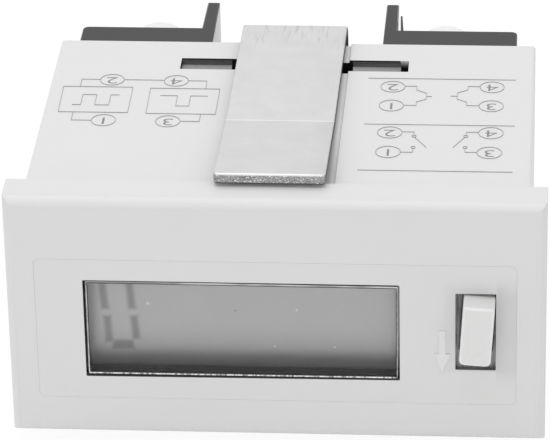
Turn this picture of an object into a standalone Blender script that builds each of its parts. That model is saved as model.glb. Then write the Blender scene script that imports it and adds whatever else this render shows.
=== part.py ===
# Digital panel counter with a 48 x 24 mm front: case, display, reset key with its lock,
# two boards, battery, four screw terminals and the strap that holds it in a panel.
# X runs right along the front, Y runs back into the panel, Z runs up. Lengths are in metres.
# Sizes are laid out from the middle of the front; the finished part stands on Z = 0.

import math

import bmesh
import bpy
from mathutils import Matrix, Vector

# Clearances
SEAM = 0.0001
SEAT_GAP = 0.0003
OVERRUN = 0.0005
MERGE_DISTANCE = 0.0000001

# Case
BODY_WIDTH = 0.045
BODY_HEIGHT = 0.0222
BODY_CORNER = 0.0003
LIP_SIDE = 0.0015
LIP_TOP = 0.0009
BEZEL_DEPTH = 0.0038
BEZEL_FILLET = 0.0007
SIDE_WALL = 0.0012
TOP_WALL = 0.0012
FRONT_WALL = 0.0014
CHANNEL_HALF_WIDTH = 0.0051
CHANNEL_DEPTH = 0.00026
LATCH_SLOT_HALF_WIDTH = 0.0107
LATCH_SLOT_LENGTH = 0.0023
LATCH_SLOT_BACK_INSET = 0.0036
BOARD_RIB_WIDTH = 0.0007
BOARD_RIB_HEIGHT = 0.0020
BOARD_RIB_MARGIN = 0.0036
KEY_RAIL_WIDTH = 0.0007
KEY_RAIL_DEPTH = 0.0040
KEY_RAIL_GAP = 0.0003

# Front plate, with the window on its left and the key hole on its right
PLATE_SIDE_MARGIN = 0.0026
PLATE_TOP_MARGIN = 0.0060
PLATE_BOTTOM_MARGIN = 0.0039
PLATE_THICKNESS = 0.0005
PLATE_CORNER = 0.0005
WINDOW_LEFT_MARGIN = 0.00443
WINDOW_RIGHT_MARGIN = 0.01045
WINDOW_TOP_MARGIN = 0.0021
WINDOW_BOTTOM_MARGIN = 0.0025
WINDOW_CORNER = 0.0003
KEY_HOLE_WIDTH = 0.00357
KEY_HOLE_RIGHT_MARGIN = 0.00183
KEY_HOLE_TOP_MARGIN = 0.00283
KEY_HOLE_BOTTOM_MARGIN = 0.00355
WALL_OPENING_MARGIN = 0.0006

# Window lens and display
LENS_GAP = 0.00015
LENS_LIP = 0.0004
LENS_LIP_THICKNESS = 0.0002
HOLDER_FLANGE = 0.0005
HOLDER_WALL = 0.0010
GLASS_THICKNESS = 0.0011
GLASS_MARGIN_SIDE = 0.0016
GLASS_MARGIN_TOP = 0.0020
GLASS_LEDGE = 0.0018
GLASS_CLEARANCE = 0.00015
STRIP_THICKNESS = 0.0014
STRIP_DEPTH = 0.0053

# Boards
BOARD_THICKNESS = 0.0012
BOARD_CORNER = 0.0010
TERMINAL_BOARD_TOP_MARGIN = 0.0016

# Reset key, its slider, spring and contact
KEY_WIDTH = 0.0028
KEY_PROUD = 0.0023
KEY_TOP_GAP = 0.00035
KEY_BOTTOM_ROOM = 0.0018
KEY_OFFSET = 0.00015
KEY_GAP = 0.00012
KEY_TOP_CORNER = 0.0002
KEY_BOTTOM_CORNER = 0.00045
KEY_EDGE = 0.0002
KEY_LEAN = math.radians(2.9)
KEY_TRAVEL = 0.0010
LOCK_TRAVEL = 0.0014
KEY_FLANGE_RIM = 0.0005
KEY_FLANGE_THICKNESS = 0.0007
PLUNGER_RADIUS = 0.0007
SLIDER_WALL = 0.0008
SLIDER_COVER = 0.0003
SLIDER_BACK_GAP = 0.0015
SLIDER_CHAMBER_ROOM = 0.0002
SPRING_RADIUS = 0.00120
SPRING_WIRE = 0.00030
SPRING_TURNS = 3.5
CONTACT_RADIUS = 0.0016
CONTACT_HEIGHT = 0.0007
CONTACT_RIM_SHARE = 0.33

# Battery and the parts on the front board
BATTERY_RADIUS = 0.00725
BATTERY_ROOM = 0.00065
BATTERY_EDGE = 0.0006
BATTERY_CAP_RADIUS = 0.0025
BATTERY_CAP_HEIGHT = 0.0006
TAB_THICKNESS = 0.0003
TAB_WIDTH = 0.0040
TAB_FOOT = 0.0020
CAPACITOR_RADIUS = 0.0025
CAPACITOR_LENGTH = 0.0070
CAPACITOR_GROOVE = 0.0003
CAPACITOR_GROOVE_SHARE = 0.2
PART_SPACING = 0.0005
CHIP_RADIUS = 0.0036
CHIP_HEIGHT = 0.0010
CRYSTAL_RADIUS = 0.0010
CRYSTAL_LENGTH = 0.0060
CRYSTAL_END_SHARE = 0.33
EDGE_ROOM = 0.0008
RESISTOR_WIDTH = 0.0016
RESISTOR_HEIGHT = 0.0005
RESISTOR_PITCH = 0.0010
RESISTOR_COUNT = 5
RESISTOR_NOTCH_SHARE = 0.17
LINK_PITCH = 0.00254
LINK_PIN = 0.00064
LINK_COUNT = 4
LINK_BAR_WIDTH = 0.0024
LINK_BAR_DEPTH = 0.0025

# Terminal block
STANDOFF_LENGTH = 0.0034
STANDOFF_WIDTH = 0.0020
PLUG_DEPTH = 0.0030
LEDGE_DEPTH = 0.00625
LEDGE_THICKNESS = 0.0010
LEDGE_CORNER = 0.0006
REAR_OFFSET = -0.00025
POST_INSET = 0.00815
POST_WIDTH = 0.00142
POST_TIP_WIDTH = 0.0012
POST_DEPTH = 0.0120
BARRIER_THICKNESS = 0.0012
BARRIER_DEPTH = 0.0098
PEDESTAL_DEPTH = 0.0046
PEDESTAL_MARGIN = 0.0004
FIN_WIDTH = 0.0003
FIN_TIP_WIDTH = 0.00018
FIN_GAP = 0.00015
FIN_DEPTH = 0.0032
HOOK_INNER = 0.0057
HOOK_OUTER = 0.0102
HOOK_THICKNESS = 0.0012
HOOK_GAP = 0.0001
TOOTH_THICKNESS = 0.00025
TOOTH_HEIGHT = 0.0004
FACET_RISE = 0.0006
CLIP_STOP_WIDTH = 0.0060
CLIP_STOP_HEIGHT = 0.0080

# Terminal hardware
SCREW_INSET = 0.00438
SCREW_HEAD_RADIUS = 0.0030
SCREW_HEAD_HEIGHT = 0.0023
SCREW_HEAD_CROWN = 0.0006
SCREW_CROWN_SHARES = ((1.0, 0.0), (0.33, 0.5), (0.0, 2.0))
SCREW_SHANK_RADIUS = 0.0016
SCREW_SHANK_LENGTH = 0.0074
SCREW_TIP = 0.0004
SCREW_BORE_GAP = 0.0004
SCREW_BORE_FLOOR = 0.0020
RECESS_LENGTH = 0.0036
RECESS_WIDTH = 0.0008
RECESS_DEPTH = 0.0012
PLATE_HALF_LENGTH = 0.0040
PLATE_HALF_HEIGHT = 0.0027
CONTACT_PLATE_THICKNESS = 0.0008
TAIL_WIDTH = 0.0012
TAIL_CLEARANCE = 0.00015
TAIL_STICK_OUT = 0.0007
CLAMP_HALF_LENGTH = 0.0032
CLAMP_HALF_HEIGHT = 0.0029
CLAMP_THICKNESS = 0.0009
CLAMP_FOLD = 0.0004
CLAMP_FOLD_WIDTH = 0.0007
CLAMP_LIFT = 0.0021
HOLE_GAP = 0.00025

# Mounting clip
CLIP_WIDTH = 0.0099
CLIP_OFFSET = -0.0005
CLIP_THICKNESS = 0.00095
CLIP_REST_GAP = 0.00015
CLIP_BACK_GAP = 0.00195
CLIP_BEND = 0.00115
CLIP_TIP_RISE = 0.00105
CLIP_TIP_OVERHANG = 0.0009
CLIP_FLARE_LENGTH = 0.0126
CLIP_TIP_CORNER = 0.0004

# Facets
CORNER_STEPS = 3
FILLET_STEPS = 3
ROUND_STEPS = 24
SMALL_ROUND_STEPS = 12
BEND_STEPS = 6
SPRING_STEPS = 10
SMOOTH_ANGLE = math.radians(35.0)

# Case and front, worked out
body_half_width = BODY_WIDTH / 2
body_half_height = BODY_HEIGHT / 2
bezel_half_width = body_half_width + LIP_SIDE
bezel_half_height = body_half_height + LIP_TOP
cavity_half_width = body_half_width - SIDE_WALL
cavity_half_height = body_half_height - TOP_WALL

plate_left = -bezel_half_width + PLATE_SIDE_MARGIN
plate_right = bezel_half_width - PLATE_SIDE_MARGIN
plate_bottom = -bezel_half_height + PLATE_BOTTOM_MARGIN
plate_top = bezel_half_height - PLATE_TOP_MARGIN
window_left = plate_left + WINDOW_LEFT_MARGIN
window_right = plate_right - WINDOW_RIGHT_MARGIN
window_bottom = plate_bottom + WINDOW_BOTTOM_MARGIN
window_top = plate_top - WINDOW_TOP_MARGIN
key_hole_right = plate_right - KEY_HOLE_RIGHT_MARGIN
key_hole_left = key_hole_right - KEY_HOLE_WIDTH
key_hole_bottom = plate_bottom + KEY_HOLE_BOTTOM_MARGIN
key_hole_top = plate_top - KEY_HOLE_TOP_MARGIN

# Depths from the front, in the order in which the pieces stack
pocket_floor = PLATE_THICKNESS + SEAM
lens_back = pocket_floor + LENS_LIP_THICKNESS
holder_front = FRONT_WALL + SEAM
glass_front = holder_front + HOLDER_FLANGE + SEAM
strip_front = glass_front + GLASS_THICKNESS + SEAT_GAP
strip_back = strip_front + STRIP_DEPTH
board_front = strip_back + SEAT_GAP
board_back = board_front + BOARD_THICKNESS
battery_front = board_back + BATTERY_ROOM
battery_middle = battery_front + BATTERY_RADIUS
terminal_board_front = battery_middle + BATTERY_RADIUS + BATTERY_ROOM
terminal_board_back = terminal_board_front + BOARD_THICKNESS
plug_front = terminal_board_back + SEAT_GAP + STANDOFF_LENGTH
body_back = plug_front + PLUG_DEPTH
post_back = body_back + POST_DEPTH
pedestal_back = body_back + PEDESTAL_DEPTH
contact_back = pedestal_back + SEAM + CONTACT_PLATE_THICKNESS
clamp_fold_front = contact_back + CLAMP_LIFT
clamp_front = clamp_fold_front + CLAMP_FOLD
clamp_back = clamp_front + CLAMP_THICKNESS
head_front = clamp_back + SEAM

# Key, slider and contact, about the key's own leaning axis
key_height = key_hole_top - key_hole_bottom - KEY_TOP_GAP - KEY_BOTTOM_ROOM
key_middle_x = (key_hole_left + key_hole_right) / 2 + KEY_OFFSET
key_middle_z = key_hole_top - KEY_TOP_GAP - key_height / 2
slider_front = pocket_floor + SEAM
slider_back = board_front - SLIDER_BACK_GAP
flange_front = slider_front + SLIDER_WALL + SEAM
flange_back = flange_front + KEY_FLANGE_THICKNESS
flange_half_width = KEY_WIDTH / 2 + KEY_FLANGE_RIM
flange_half_height = key_height / 2 + KEY_FLANGE_RIM
chamber_half_width = flange_half_width + SLIDER_CHAMBER_ROOM
chamber_half_height = flange_half_height + SLIDER_CHAMBER_ROOM
slider_half_width = chamber_half_width + SLIDER_WALL / 2
slider_low = key_hole_bottom - SLIDER_COVER - key_middle_z
slider_high = key_hole_top + LOCK_TRAVEL + SLIDER_COVER - key_middle_z
contact_front = board_front - SEAM - CONTACT_HEIGHT
plunger_end = contact_front - KEY_TRAVEL - KEY_GAP
slider_left = key_middle_x - slider_half_width + slider_low * math.sin(KEY_LEAN)
slider_right = key_middle_x + slider_half_width + slider_high * math.sin(KEY_LEAN)
slider_lowest = key_middle_z + slider_low - slider_half_width * math.sin(KEY_LEAN)
slider_highest = key_middle_z + slider_high + slider_half_width * math.sin(KEY_LEAN)

# Terminal places: 1 and 2 on the left, 3 and 4 on the right, the odd ones below
plug_half_width = cavity_half_width - SEAT_GAP
plug_half_height = cavity_half_height - SEAT_GAP
ledge_inside = plug_half_height - LEDGE_THICKNESS
ledge_reach = cavity_half_width - SEAM - abs(REAR_OFFSET)
post_outside = POST_INSET + POST_WIDTH
post_inner_root = POST_INSET + POST_TIP_WIDTH / 2
screw_across = post_outside + SCREW_INSET
screw_up = (BARRIER_THICKNESS / 2 + ledge_inside) / 2
screw_bore = SCREW_SHANK_RADIUS + SCREW_BORE_GAP
terminal_places = [(-1, -1), (-1, 1), (1, -1), (1, 1)]

# The strap's lowest point is what the part stands on
clip_arm = body_half_height + CLIP_REST_GAP
clip_tip = clip_arm + CLIP_TIP_RISE
clip_slope = math.atan2(CLIP_TIP_RISE, CLIP_FLARE_LENGTH)
stand_height = clip_tip + CLIP_THICKNESS
depth_middle = (post_back - KEY_PROUD) / 2


def clear_scene():
    for obj in list(bpy.data.objects):
        bpy.data.objects.remove(obj)


def make_material(name, colour, roughness, metallic=0.0):
    mat = bpy.data.materials.new(name)
    mat.use_nodes = True
    shader = mat.node_tree.nodes["Principled BSDF"]
    shader.inputs["Base Color"].default_value = (*colour, 1.0)
    shader.inputs["Roughness"].default_value = roughness
    shader.inputs["Metallic"].default_value = metallic
    mat.diffuse_color = (*colour, 1.0)
    return mat


def to_object(name, bm):
    bmesh.ops.remove_doubles(bm, verts=bm.verts, dist=MERGE_DISTANCE)
    bmesh.ops.recalc_face_normals(bm, faces=bm.faces)
    mesh = bpy.data.meshes.new(name)
    bm.to_mesh(mesh)
    bm.free()
    obj = bpy.data.objects.new(name, mesh)
    bpy.context.scene.collection.objects.link(obj)
    return obj


def in_space(axis, along, first, second):
    """A point from its place along an axis and its two places across it."""
    if axis == "X":
        return Vector((along, first, second))
    if axis == "Y":
        return Vector((first, along, second))
    return Vector((first, second, along))


def prism_mesh(outline, axis, start, end):
    bm = bmesh.new()
    near = [bm.verts.new(in_space(axis, start, a, b)) for a, b in outline]
    far = [bm.verts.new(in_space(axis, end, a, b)) for a, b in outline]
    bm.faces.new(near)
    bm.faces.new(list(reversed(far)))
    for i in range(len(outline)):
        j = (i + 1) % len(outline)
        bm.faces.new((near[i], far[i], far[j], near[j]))
    return bm


def prism(name, outline, axis, start, end):
    return to_object(name, prism_mesh(outline, axis, start, end))


def rectangle(left, right, bottom, top):
    return [(left, bottom), (right, bottom), (right, top), (left, top)]


def rounded(left, right, bottom, top, radius, low_radius=None):
    """A rectangle whose four corners are arcs; the lower two can have a radius of their own."""
    low = radius if low_radius is None else low_radius
    corners = [
        (right - radius, top - radius, radius),
        (left + radius, top - radius, radius),
        (left + low, bottom + low, low),
        (right - low, bottom + low, low),
    ]
    points = []
    for quarter, (x, z, reach) in enumerate(corners):
        for step in range(CORNER_STEPS + 1):
            angle = math.pi / 2 * (quarter + step / CORNER_STEPS)
            points.append((x + reach * math.cos(angle), z + reach * math.sin(angle)))
    return points


def block(name, x_range, y_range, z_range):
    return prism(name, rectangle(*x_range, *z_range), "Y", *y_range)


def turned(name, profile, axis, steps=ROUND_STEPS):
    """A solid of revolution from (along, radius) points; the first and last lie on the axis."""
    bm = bmesh.new()
    rings = []
    for along, radius in profile:
        if radius == 0:
            rings.append([bm.verts.new(in_space(axis, along, 0, 0))])
            continue
        ring = []
        for step in range(steps):
            angle = 2 * math.pi * step / steps
            ring.append(
                bm.verts.new(
                    in_space(axis, along, radius * math.cos(angle), radius * math.sin(angle))
                )
            )
        rings.append(ring)
    for one, two in zip(rings, rings[1:]):
        for step in range(steps):
            after = (step + 1) % steps
            corners = [one[step % len(one)], one[after % len(one)]]
            corners += [two[after % len(two)], two[step % len(two)]]
            bm.faces.new(list(dict.fromkeys(corners)))
    return to_object(name, bm)


def fillet_front(bm, front, radius):
    """Round the edges that run round the face at depth front."""
    rim = [e for e in bm.edges if all(abs(v.co.y - front) < SEAM / 2 for v in e.verts)]
    bmesh.ops.bevel(
        bm, geom=rim, offset=radius, segments=FILLET_STEPS, profile=0.5, affect="EDGES"
    )


def combine(target, tools, operation):
    """Join the tools to the target, or cut them from it, and keep the result as its mesh."""
    for tool in tools:
        boolean = target.modifiers.new(operation.title(), "BOOLEAN")
        boolean.object = tool
        boolean.operation = operation
        boolean.solver = "EXACT"
        tool.hide_render = True
        tool.display_type = "WIRE"
    graph = bpy.context.evaluated_depsgraph_get()
    mesh = bpy.data.meshes.new_from_object(target.evaluated_get(graph))
    target.modifiers.clear()
    target.data = mesh
    for tool in tools:
        bpy.data.objects.remove(tool)
    return target


def join(target, *tools):
    return combine(target, tools, "UNION")


def cut(target, *tools):
    return combine(target, tools, "DIFFERENCE")


def finish(obj, mat, parent, origin=(0, 0, 0), smooth=False):
    """Give a piece its material, its parent and its own origin, keeping where its mesh lies."""
    obj.data.materials.clear()
    obj.data.materials.append(mat)
    obj.data.transform(Matrix.Translation(-Vector(origin)))
    obj.location = origin
    obj.parent = parent
    if smooth:
        obj.data.shade_smooth()
        obj.data.set_sharp_from_angle(angle=SMOOTH_ANGLE)
    return obj


def add_empty(name, location, parent=None, lean=0.0):
    empty = bpy.data.objects.new(name, None)
    bpy.context.scene.collection.objects.link(empty)
    empty.location = location
    empty.rotation_euler = (0.0, lean, 0.0)
    empty.parent = parent
    return empty


# Case: bezel and body in one moulding, open at the back

def build_case(mat, counter):
    bezel = prism_mesh(
        rectangle(-bezel_half_width, bezel_half_width, -bezel_half_height, bezel_half_height),
        "Y", 0.0, BEZEL_DEPTH,
    )
    fillet_front(bezel, 0.0, BEZEL_FILLET)
    case = to_object("case", bezel)
    body_outline = rounded(
        -body_half_width, body_half_width, -body_half_height, body_half_height, BODY_CORNER
    )
    join(case, prism("body", body_outline, "Y", BEZEL_DEPTH - OVERRUN, body_back))
    cut(
        case,
        block(
            "cavity",
            (-cavity_half_width, cavity_half_width),
            (FRONT_WALL, body_back + OVERRUN),
            (-cavity_half_height, cavity_half_height),
        ),
        prism(
            "plate_pocket",
            rounded(plate_left, plate_right, plate_bottom, plate_top, PLATE_CORNER),
            "Y", -OVERRUN, pocket_floor,
        ),
        block(
            "display_opening",
            (window_left - WALL_OPENING_MARGIN, window_right + WALL_OPENING_MARGIN),
            (pocket_floor - OVERRUN, FRONT_WALL + OVERRUN),
            (window_bottom - WALL_OPENING_MARGIN, window_top + WALL_OPENING_MARGIN),
        ),
        block(
            "key_opening",
            (slider_left - KEY_RAIL_GAP, slider_right + KEY_RAIL_GAP),
            (pocket_floor - OVERRUN, FRONT_WALL + OVERRUN),
            (slider_lowest - LOCK_TRAVEL - KEY_RAIL_GAP, slider_highest + KEY_RAIL_GAP),
        ),
    )
    slot_back = body_back - LATCH_SLOT_BACK_INSET
    for side in (-1, 1):
        channel = sorted(
            (side * (body_half_height - CHANNEL_DEPTH), side * (body_half_height + LIP_TOP))
        )
        slot = sorted((side * (cavity_half_height - OVERRUN), side * (body_half_height + OVERRUN)))
        cut(
            case,
            block(
                "channel",
                (-CHANNEL_HALF_WIDTH, CHANNEL_HALF_WIDTH),
                (BEZEL_DEPTH, body_back + OVERRUN),
                channel,
            ),
            block(
                "latch_slot",
                (-LATCH_SLOT_HALF_WIDTH, LATCH_SLOT_HALF_WIDTH),
                (slot_back - LATCH_SLOT_LENGTH, slot_back),
                slot,
            ),
        )
    ribs = []
    rib_middle = cavity_half_height - BOARD_RIB_MARGIN
    for side in (-1, 1):
        for level in (-1, 1):
            ribs.append(
                block(
                    "board_rib",
                    sorted(
                        (
                            side * (cavity_half_width - BOARD_RIB_WIDTH),
                            side * (cavity_half_width + SIDE_WALL / 2),
                        )
                    ),
                    (pocket_floor / 2 + FRONT_WALL / 2, board_front - SEAT_GAP),
                    (
                        level * rib_middle - BOARD_RIB_HEIGHT / 2,
                        level * rib_middle + BOARD_RIB_HEIGHT / 2,
                    ),
                )
            )
    ribs.append(
        block(
            "key_rail",
            (slider_left - KEY_RAIL_GAP - KEY_RAIL_WIDTH, slider_left - KEY_RAIL_GAP),
            (pocket_floor / 2 + FRONT_WALL / 2, FRONT_WALL + KEY_RAIL_DEPTH),
            (plate_bottom, plate_top),
        )
    )
    join(case, *ribs)
    return finish(case, mat, counter)


def build_front_plate(mat, counter):
    plate = prism(
        "front_plate",
        rounded(
            plate_left + SEAM, plate_right - SEAM, plate_bottom + SEAM, plate_top - SEAM,
            PLATE_CORNER - SEAM,
        ),
        "Y", 0.0, PLATE_THICKNESS,
    )
    cut(
        plate,
        prism(
            "window",
            rounded(window_left, window_right, window_bottom, window_top, WINDOW_CORNER),
            "Y", -OVERRUN, PLATE_THICKNESS + OVERRUN,
        ),
        block(
            "key_hole",
            (key_hole_left, key_hole_right),
            (-OVERRUN, PLATE_THICKNESS + OVERRUN),
            (key_hole_bottom, key_hole_top),
        ),
    )
    return finish(plate, mat, counter)


# Display stack: lens, glass, holder and contact strips

def build_window_lens(mat, counter):
    lens = prism(
        "window_lens",
        rounded(
            window_left + LENS_GAP, window_right - LENS_GAP,
            window_bottom + LENS_GAP, window_top - LENS_GAP, WINDOW_CORNER,
        ),
        "Y", 0.0, lens_back,
    )
    lip = block(
        "lens_lip",
        (window_left - LENS_LIP, window_right + LENS_LIP),
        (pocket_floor, lens_back),
        (window_bottom - LENS_LIP, window_top + LENS_LIP),
    )
    return finish(join(lens, lip), mat, counter)


def glass_range_x():
    return window_left - GLASS_MARGIN_SIDE, window_right + GLASS_MARGIN_SIDE


def glass_range_z():
    return window_bottom - GLASS_MARGIN_TOP, window_top + GLASS_MARGIN_TOP


def build_lcd_holder(mat, counter):
    left, right = glass_range_x()
    bottom, top = glass_range_z()
    inside = (left - GLASS_CLEARANCE, right + GLASS_CLEARANCE)
    inside_z = (bottom - GLASS_CLEARANCE, top + GLASS_CLEARANCE)
    holder = block(
        "lcd_holder",
        (inside[0] - HOLDER_WALL, inside[1] + HOLDER_WALL),
        (holder_front, board_front - SEAT_GAP),
        (inside_z[0] - HOLDER_WALL, inside_z[1] + HOLDER_WALL),
    )
    collar = block(
        "collar",
        (window_left - WALL_OPENING_MARGIN + SEAM, window_right + WALL_OPENING_MARGIN - SEAM),
        (lens_back + SEAM, holder_front + HOLDER_FLANGE / 2),
        (window_bottom - WALL_OPENING_MARGIN + SEAM, window_top + WALL_OPENING_MARGIN - SEAM),
    )
    join(holder, collar)
    cut(
        holder,
        block(
            "glass_pocket",
            inside,
            (holder_front + HOLDER_FLANGE, board_front + OVERRUN),
            inside_z,
        ),
        block(
            "display_hole",
            (window_left, window_right),
            (0.0, glass_front + OVERRUN),
            (window_bottom, window_top),
        ),
    )
    return finish(holder, mat, counter)


def build_lcd_glass(mat, counter):
    left, right = glass_range_x()
    bottom, top = glass_range_z()
    glass = block(
        "lcd_glass", (left, right), (glass_front, glass_front + GLASS_THICKNESS), (bottom, top)
    )
    back_glass = block(
        "back_glass",
        (left, right),
        (glass_front + GLASS_THICKNESS / 2, glass_front + 2 * GLASS_THICKNESS),
        (bottom + GLASS_LEDGE, top - GLASS_LEDGE),
    )
    return finish(join(glass, back_glass), mat, counter)


def build_contact_strips(mat, counter):
    left, right = glass_range_x()
    bottom, top = glass_range_z()
    middle = (bottom + top) / 2
    half_span = (top - bottom) / 2 - GLASS_LEDGE / 2
    for name, side in (("contact_strip_upper", 1), ("contact_strip_lower", -1)):
        level = middle + side * half_span
        strip = block(
            name,
            (left + SEAT_GAP, right - SEAT_GAP),
            (strip_front, strip_back),
            (level - STRIP_THICKNESS / 2, level + STRIP_THICKNESS / 2),
        )
        finish(strip, mat, counter)


# Boards and what is soldered to them

def board_outline(half_height):
    half_width = cavity_half_width - SEAT_GAP
    return rounded(-half_width, half_width, -half_height, half_height, BOARD_CORNER)


def build_front_board(mat, counter):
    outline = board_outline(cavity_half_height - SEAT_GAP)
    board = prism("front_board", outline, "Y", board_front, board_back)
    return finish(board, mat, counter)


def rear_x(side, inset):
    """A place across the terminal side, which sits a little off the case's middle."""
    return REAR_OFFSET + side * inset


def tail_range_x(side):
    inner = screw_across - PLATE_HALF_LENGTH
    return sorted((rear_x(side, inner), rear_x(side, inner + CONTACT_PLATE_THICKNESS)))


def grown(pair, by):
    return pair[0] - by, pair[1] + by


def build_terminal_board(mat, counter):
    outline = board_outline(cavity_half_height - TERMINAL_BOARD_TOP_MARGIN)
    board = prism("terminal_board", outline, "Y", terminal_board_front, terminal_board_back)
    holes = []
    for side, level in terminal_places:
        up = level * screw_up
        holes.append(
            block(
                "tail_hole",
                grown(tail_range_x(side), TAIL_CLEARANCE),
                (terminal_board_front - OVERRUN, terminal_board_back + OVERRUN),
                grown((up - TAIL_WIDTH / 2, up + TAIL_WIDTH / 2), TAIL_CLEARANCE),
            )
        )
    cut(board, *holes)
    return finish(board, mat, counter)


# Places along X on the front board's back, from the right wall leftwards
link_middle = cavity_half_width - SEAT_GAP - PART_SPACING - LINK_BAR_WIDTH / 2
capacitor_middle = link_middle - LINK_BAR_WIDTH / 2 - PART_SPACING - CAPACITOR_RADIUS
tab_foot_end = capacitor_middle - CAPACITOR_RADIUS - PART_SPACING
battery_right = tab_foot_end - TAB_FOOT - TAB_THICKNESS - SEAT_GAP
battery_left = -cavity_half_width + 2 * PART_SPACING + TAB_FOOT + TAB_THICKNESS + SEAT_GAP


def build_counter_chip(mat, counter):
    profile = [(0.0, 0.0)]
    for step in range(SMALL_ROUND_STEPS // 2 + 1):
        angle = math.pi / 2 * step / (SMALL_ROUND_STEPS // 2)
        profile.append((CHIP_HEIGHT * math.sin(angle), CHIP_RADIUS * math.cos(angle)))
    profile[-1] = (CHIP_HEIGHT, 0.0)
    chip = turned("counter_chip", profile, "Y")
    chip.data.transform(
        Matrix.Translation(
            (
                battery_left + CHIP_RADIUS,
                board_back + SEAM,
                cavity_half_height - EDGE_ROOM - CHIP_RADIUS,
            )
        )
    )
    return finish(chip, mat, counter, smooth=True)


def build_crystal(mat, counter):
    can_end = CRYSTAL_RADIUS * CRYSTAL_END_SHARE
    profile = [
        (0.0, 0.0),
        (0.0, CRYSTAL_RADIUS - can_end / 2),
        (can_end / 2, CRYSTAL_RADIUS),
        (CRYSTAL_LENGTH - can_end / 2, CRYSTAL_RADIUS),
        (CRYSTAL_LENGTH, CRYSTAL_RADIUS - can_end / 2),
        (CRYSTAL_LENGTH, 0.0),
    ]
    crystal = turned("crystal", profile, "X", SMALL_ROUND_STEPS)
    crystal.data.transform(
        Matrix.Translation(
            (
                battery_left + 2 * CHIP_RADIUS + PART_SPACING,
                board_back + SEAM + CRYSTAL_RADIUS,
                cavity_half_height - EDGE_ROOM - CRYSTAL_RADIUS,
            )
        )
    )
    return finish(crystal, mat, counter, smooth=True)


def build_capacitor(mat, counter):
    groove = CAPACITOR_LENGTH * CAPACITOR_GROOVE_SHARE
    profile = [
        (0.0, 0.0),
        (0.0, CAPACITOR_RADIUS - CAPACITOR_GROOVE),
        (CAPACITOR_GROOVE, CAPACITOR_RADIUS),
        (groove, CAPACITOR_RADIUS),
        (groove + CAPACITOR_GROOVE, CAPACITOR_RADIUS - CAPACITOR_GROOVE),
        (groove + 2 * CAPACITOR_GROOVE, CAPACITOR_RADIUS),
        (CAPACITOR_LENGTH - CAPACITOR_GROOVE, CAPACITOR_RADIUS),
        (CAPACITOR_LENGTH, CAPACITOR_RADIUS - CAPACITOR_GROOVE),
        (CAPACITOR_LENGTH, 0.0),
    ]
    capacitor = turned("capacitor", profile, "Y")
    level = cavity_half_height - EDGE_ROOM - CAPACITOR_RADIUS
    capacitor.data.transform(Matrix.Translation((capacitor_middle, board_back + SEAM, level)))
    return finish(capacitor, mat, counter, smooth=True)


def build_resistor_array(mat, counter):
    low = -cavity_half_height + EDGE_ROOM
    high = low + RESISTOR_WIDTH
    half_length = RESISTOR_PITCH * RESISTOR_COUNT / 2
    notch = RESISTOR_PITCH * RESISTOR_NOTCH_SHARE
    lower_edge = [(-half_length, low)]
    upper_edge = [(-half_length, high)]
    for index in range(1, RESISTOR_COUNT):
        place = -half_length + RESISTOR_PITCH * index
        steps = ((-notch, 0), (-notch, notch), (notch, notch), (notch, 0))
        lower_edge += [(place + across, low + into) for across, into in steps]
        upper_edge += [(place + across, high - into) for across, into in steps]
    lower_edge.append((half_length, low))
    upper_edge.append((half_length, high))
    middle = (battery_left + battery_right) / 2
    outline = [(middle + x, z) for x, z in lower_edge + upper_edge[::-1]]
    front = board_back + SEAM
    array = prism("resistor_array", outline, "Y", front, front + RESISTOR_HEIGHT)
    return finish(array, mat, counter)


def build_battery(mat, counter):
    body_end = battery_right - BATTERY_CAP_HEIGHT
    profile = [
        (battery_left, 0.0),
        (battery_left, BATTERY_RADIUS - BATTERY_EDGE),
        (battery_left + BATTERY_EDGE, BATTERY_RADIUS),
        (body_end - BATTERY_EDGE, BATTERY_RADIUS),
        (body_end, BATTERY_RADIUS - BATTERY_EDGE),
        (body_end, BATTERY_CAP_RADIUS),
        (battery_right, BATTERY_CAP_RADIUS),
        (battery_right, 0.0),
    ]
    battery = turned("battery", profile, "X")
    battery.data.transform(Matrix.Translation((0.0, battery_middle, 0.0)))
    return finish(battery, mat, counter, smooth=True)


def build_battery_tabs(mat, counter):
    top = battery_middle + BATTERY_CAP_RADIUS
    foot = board_back + SEAM
    for name, side, face in (
        ("battery_tab_positive", 1, battery_right + SEAT_GAP),
        ("battery_tab_negative", -1, battery_left - SEAT_GAP),
    ):
        outline = [
            (face, top),
            (face, foot),
            (face + side * (TAB_THICKNESS + TAB_FOOT), foot),
            (face + side * (TAB_THICKNESS + TAB_FOOT), foot + TAB_THICKNESS),
            (face + side * TAB_THICKNESS, foot + TAB_THICKNESS),
            (face + side * TAB_THICKNESS, top),
        ]
        finish(prism(name, outline, "Z", -TAB_WIDTH / 2, TAB_WIDTH / 2), mat, counter)


def build_board_link(mat, counter):
    half_row = LINK_PITCH * LINK_COUNT / 2
    bar_front = board_back + SEAM
    bar = block(
        "board_link",
        (link_middle - LINK_BAR_WIDTH / 2, link_middle + LINK_BAR_WIDTH / 2),
        (bar_front, bar_front + LINK_BAR_DEPTH),
        (-half_row, half_row),
    )
    pins = []
    for index in range(LINK_COUNT):
        level = -half_row + LINK_PITCH * (index + 1 / 2)
        pins.append(
            block(
                "link_pin",
                (link_middle - LINK_PIN / 2, link_middle + LINK_PIN / 2),
                (bar_front + LINK_BAR_DEPTH / 2, terminal_board_front - SEAM),
                (level - LINK_PIN / 2, level + LINK_PIN / 2),
            )
        )
    return finish(join(bar, *pins), mat, counter)


# Reset key: the cap is pressed in through a slider that moves down to lock it

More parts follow.
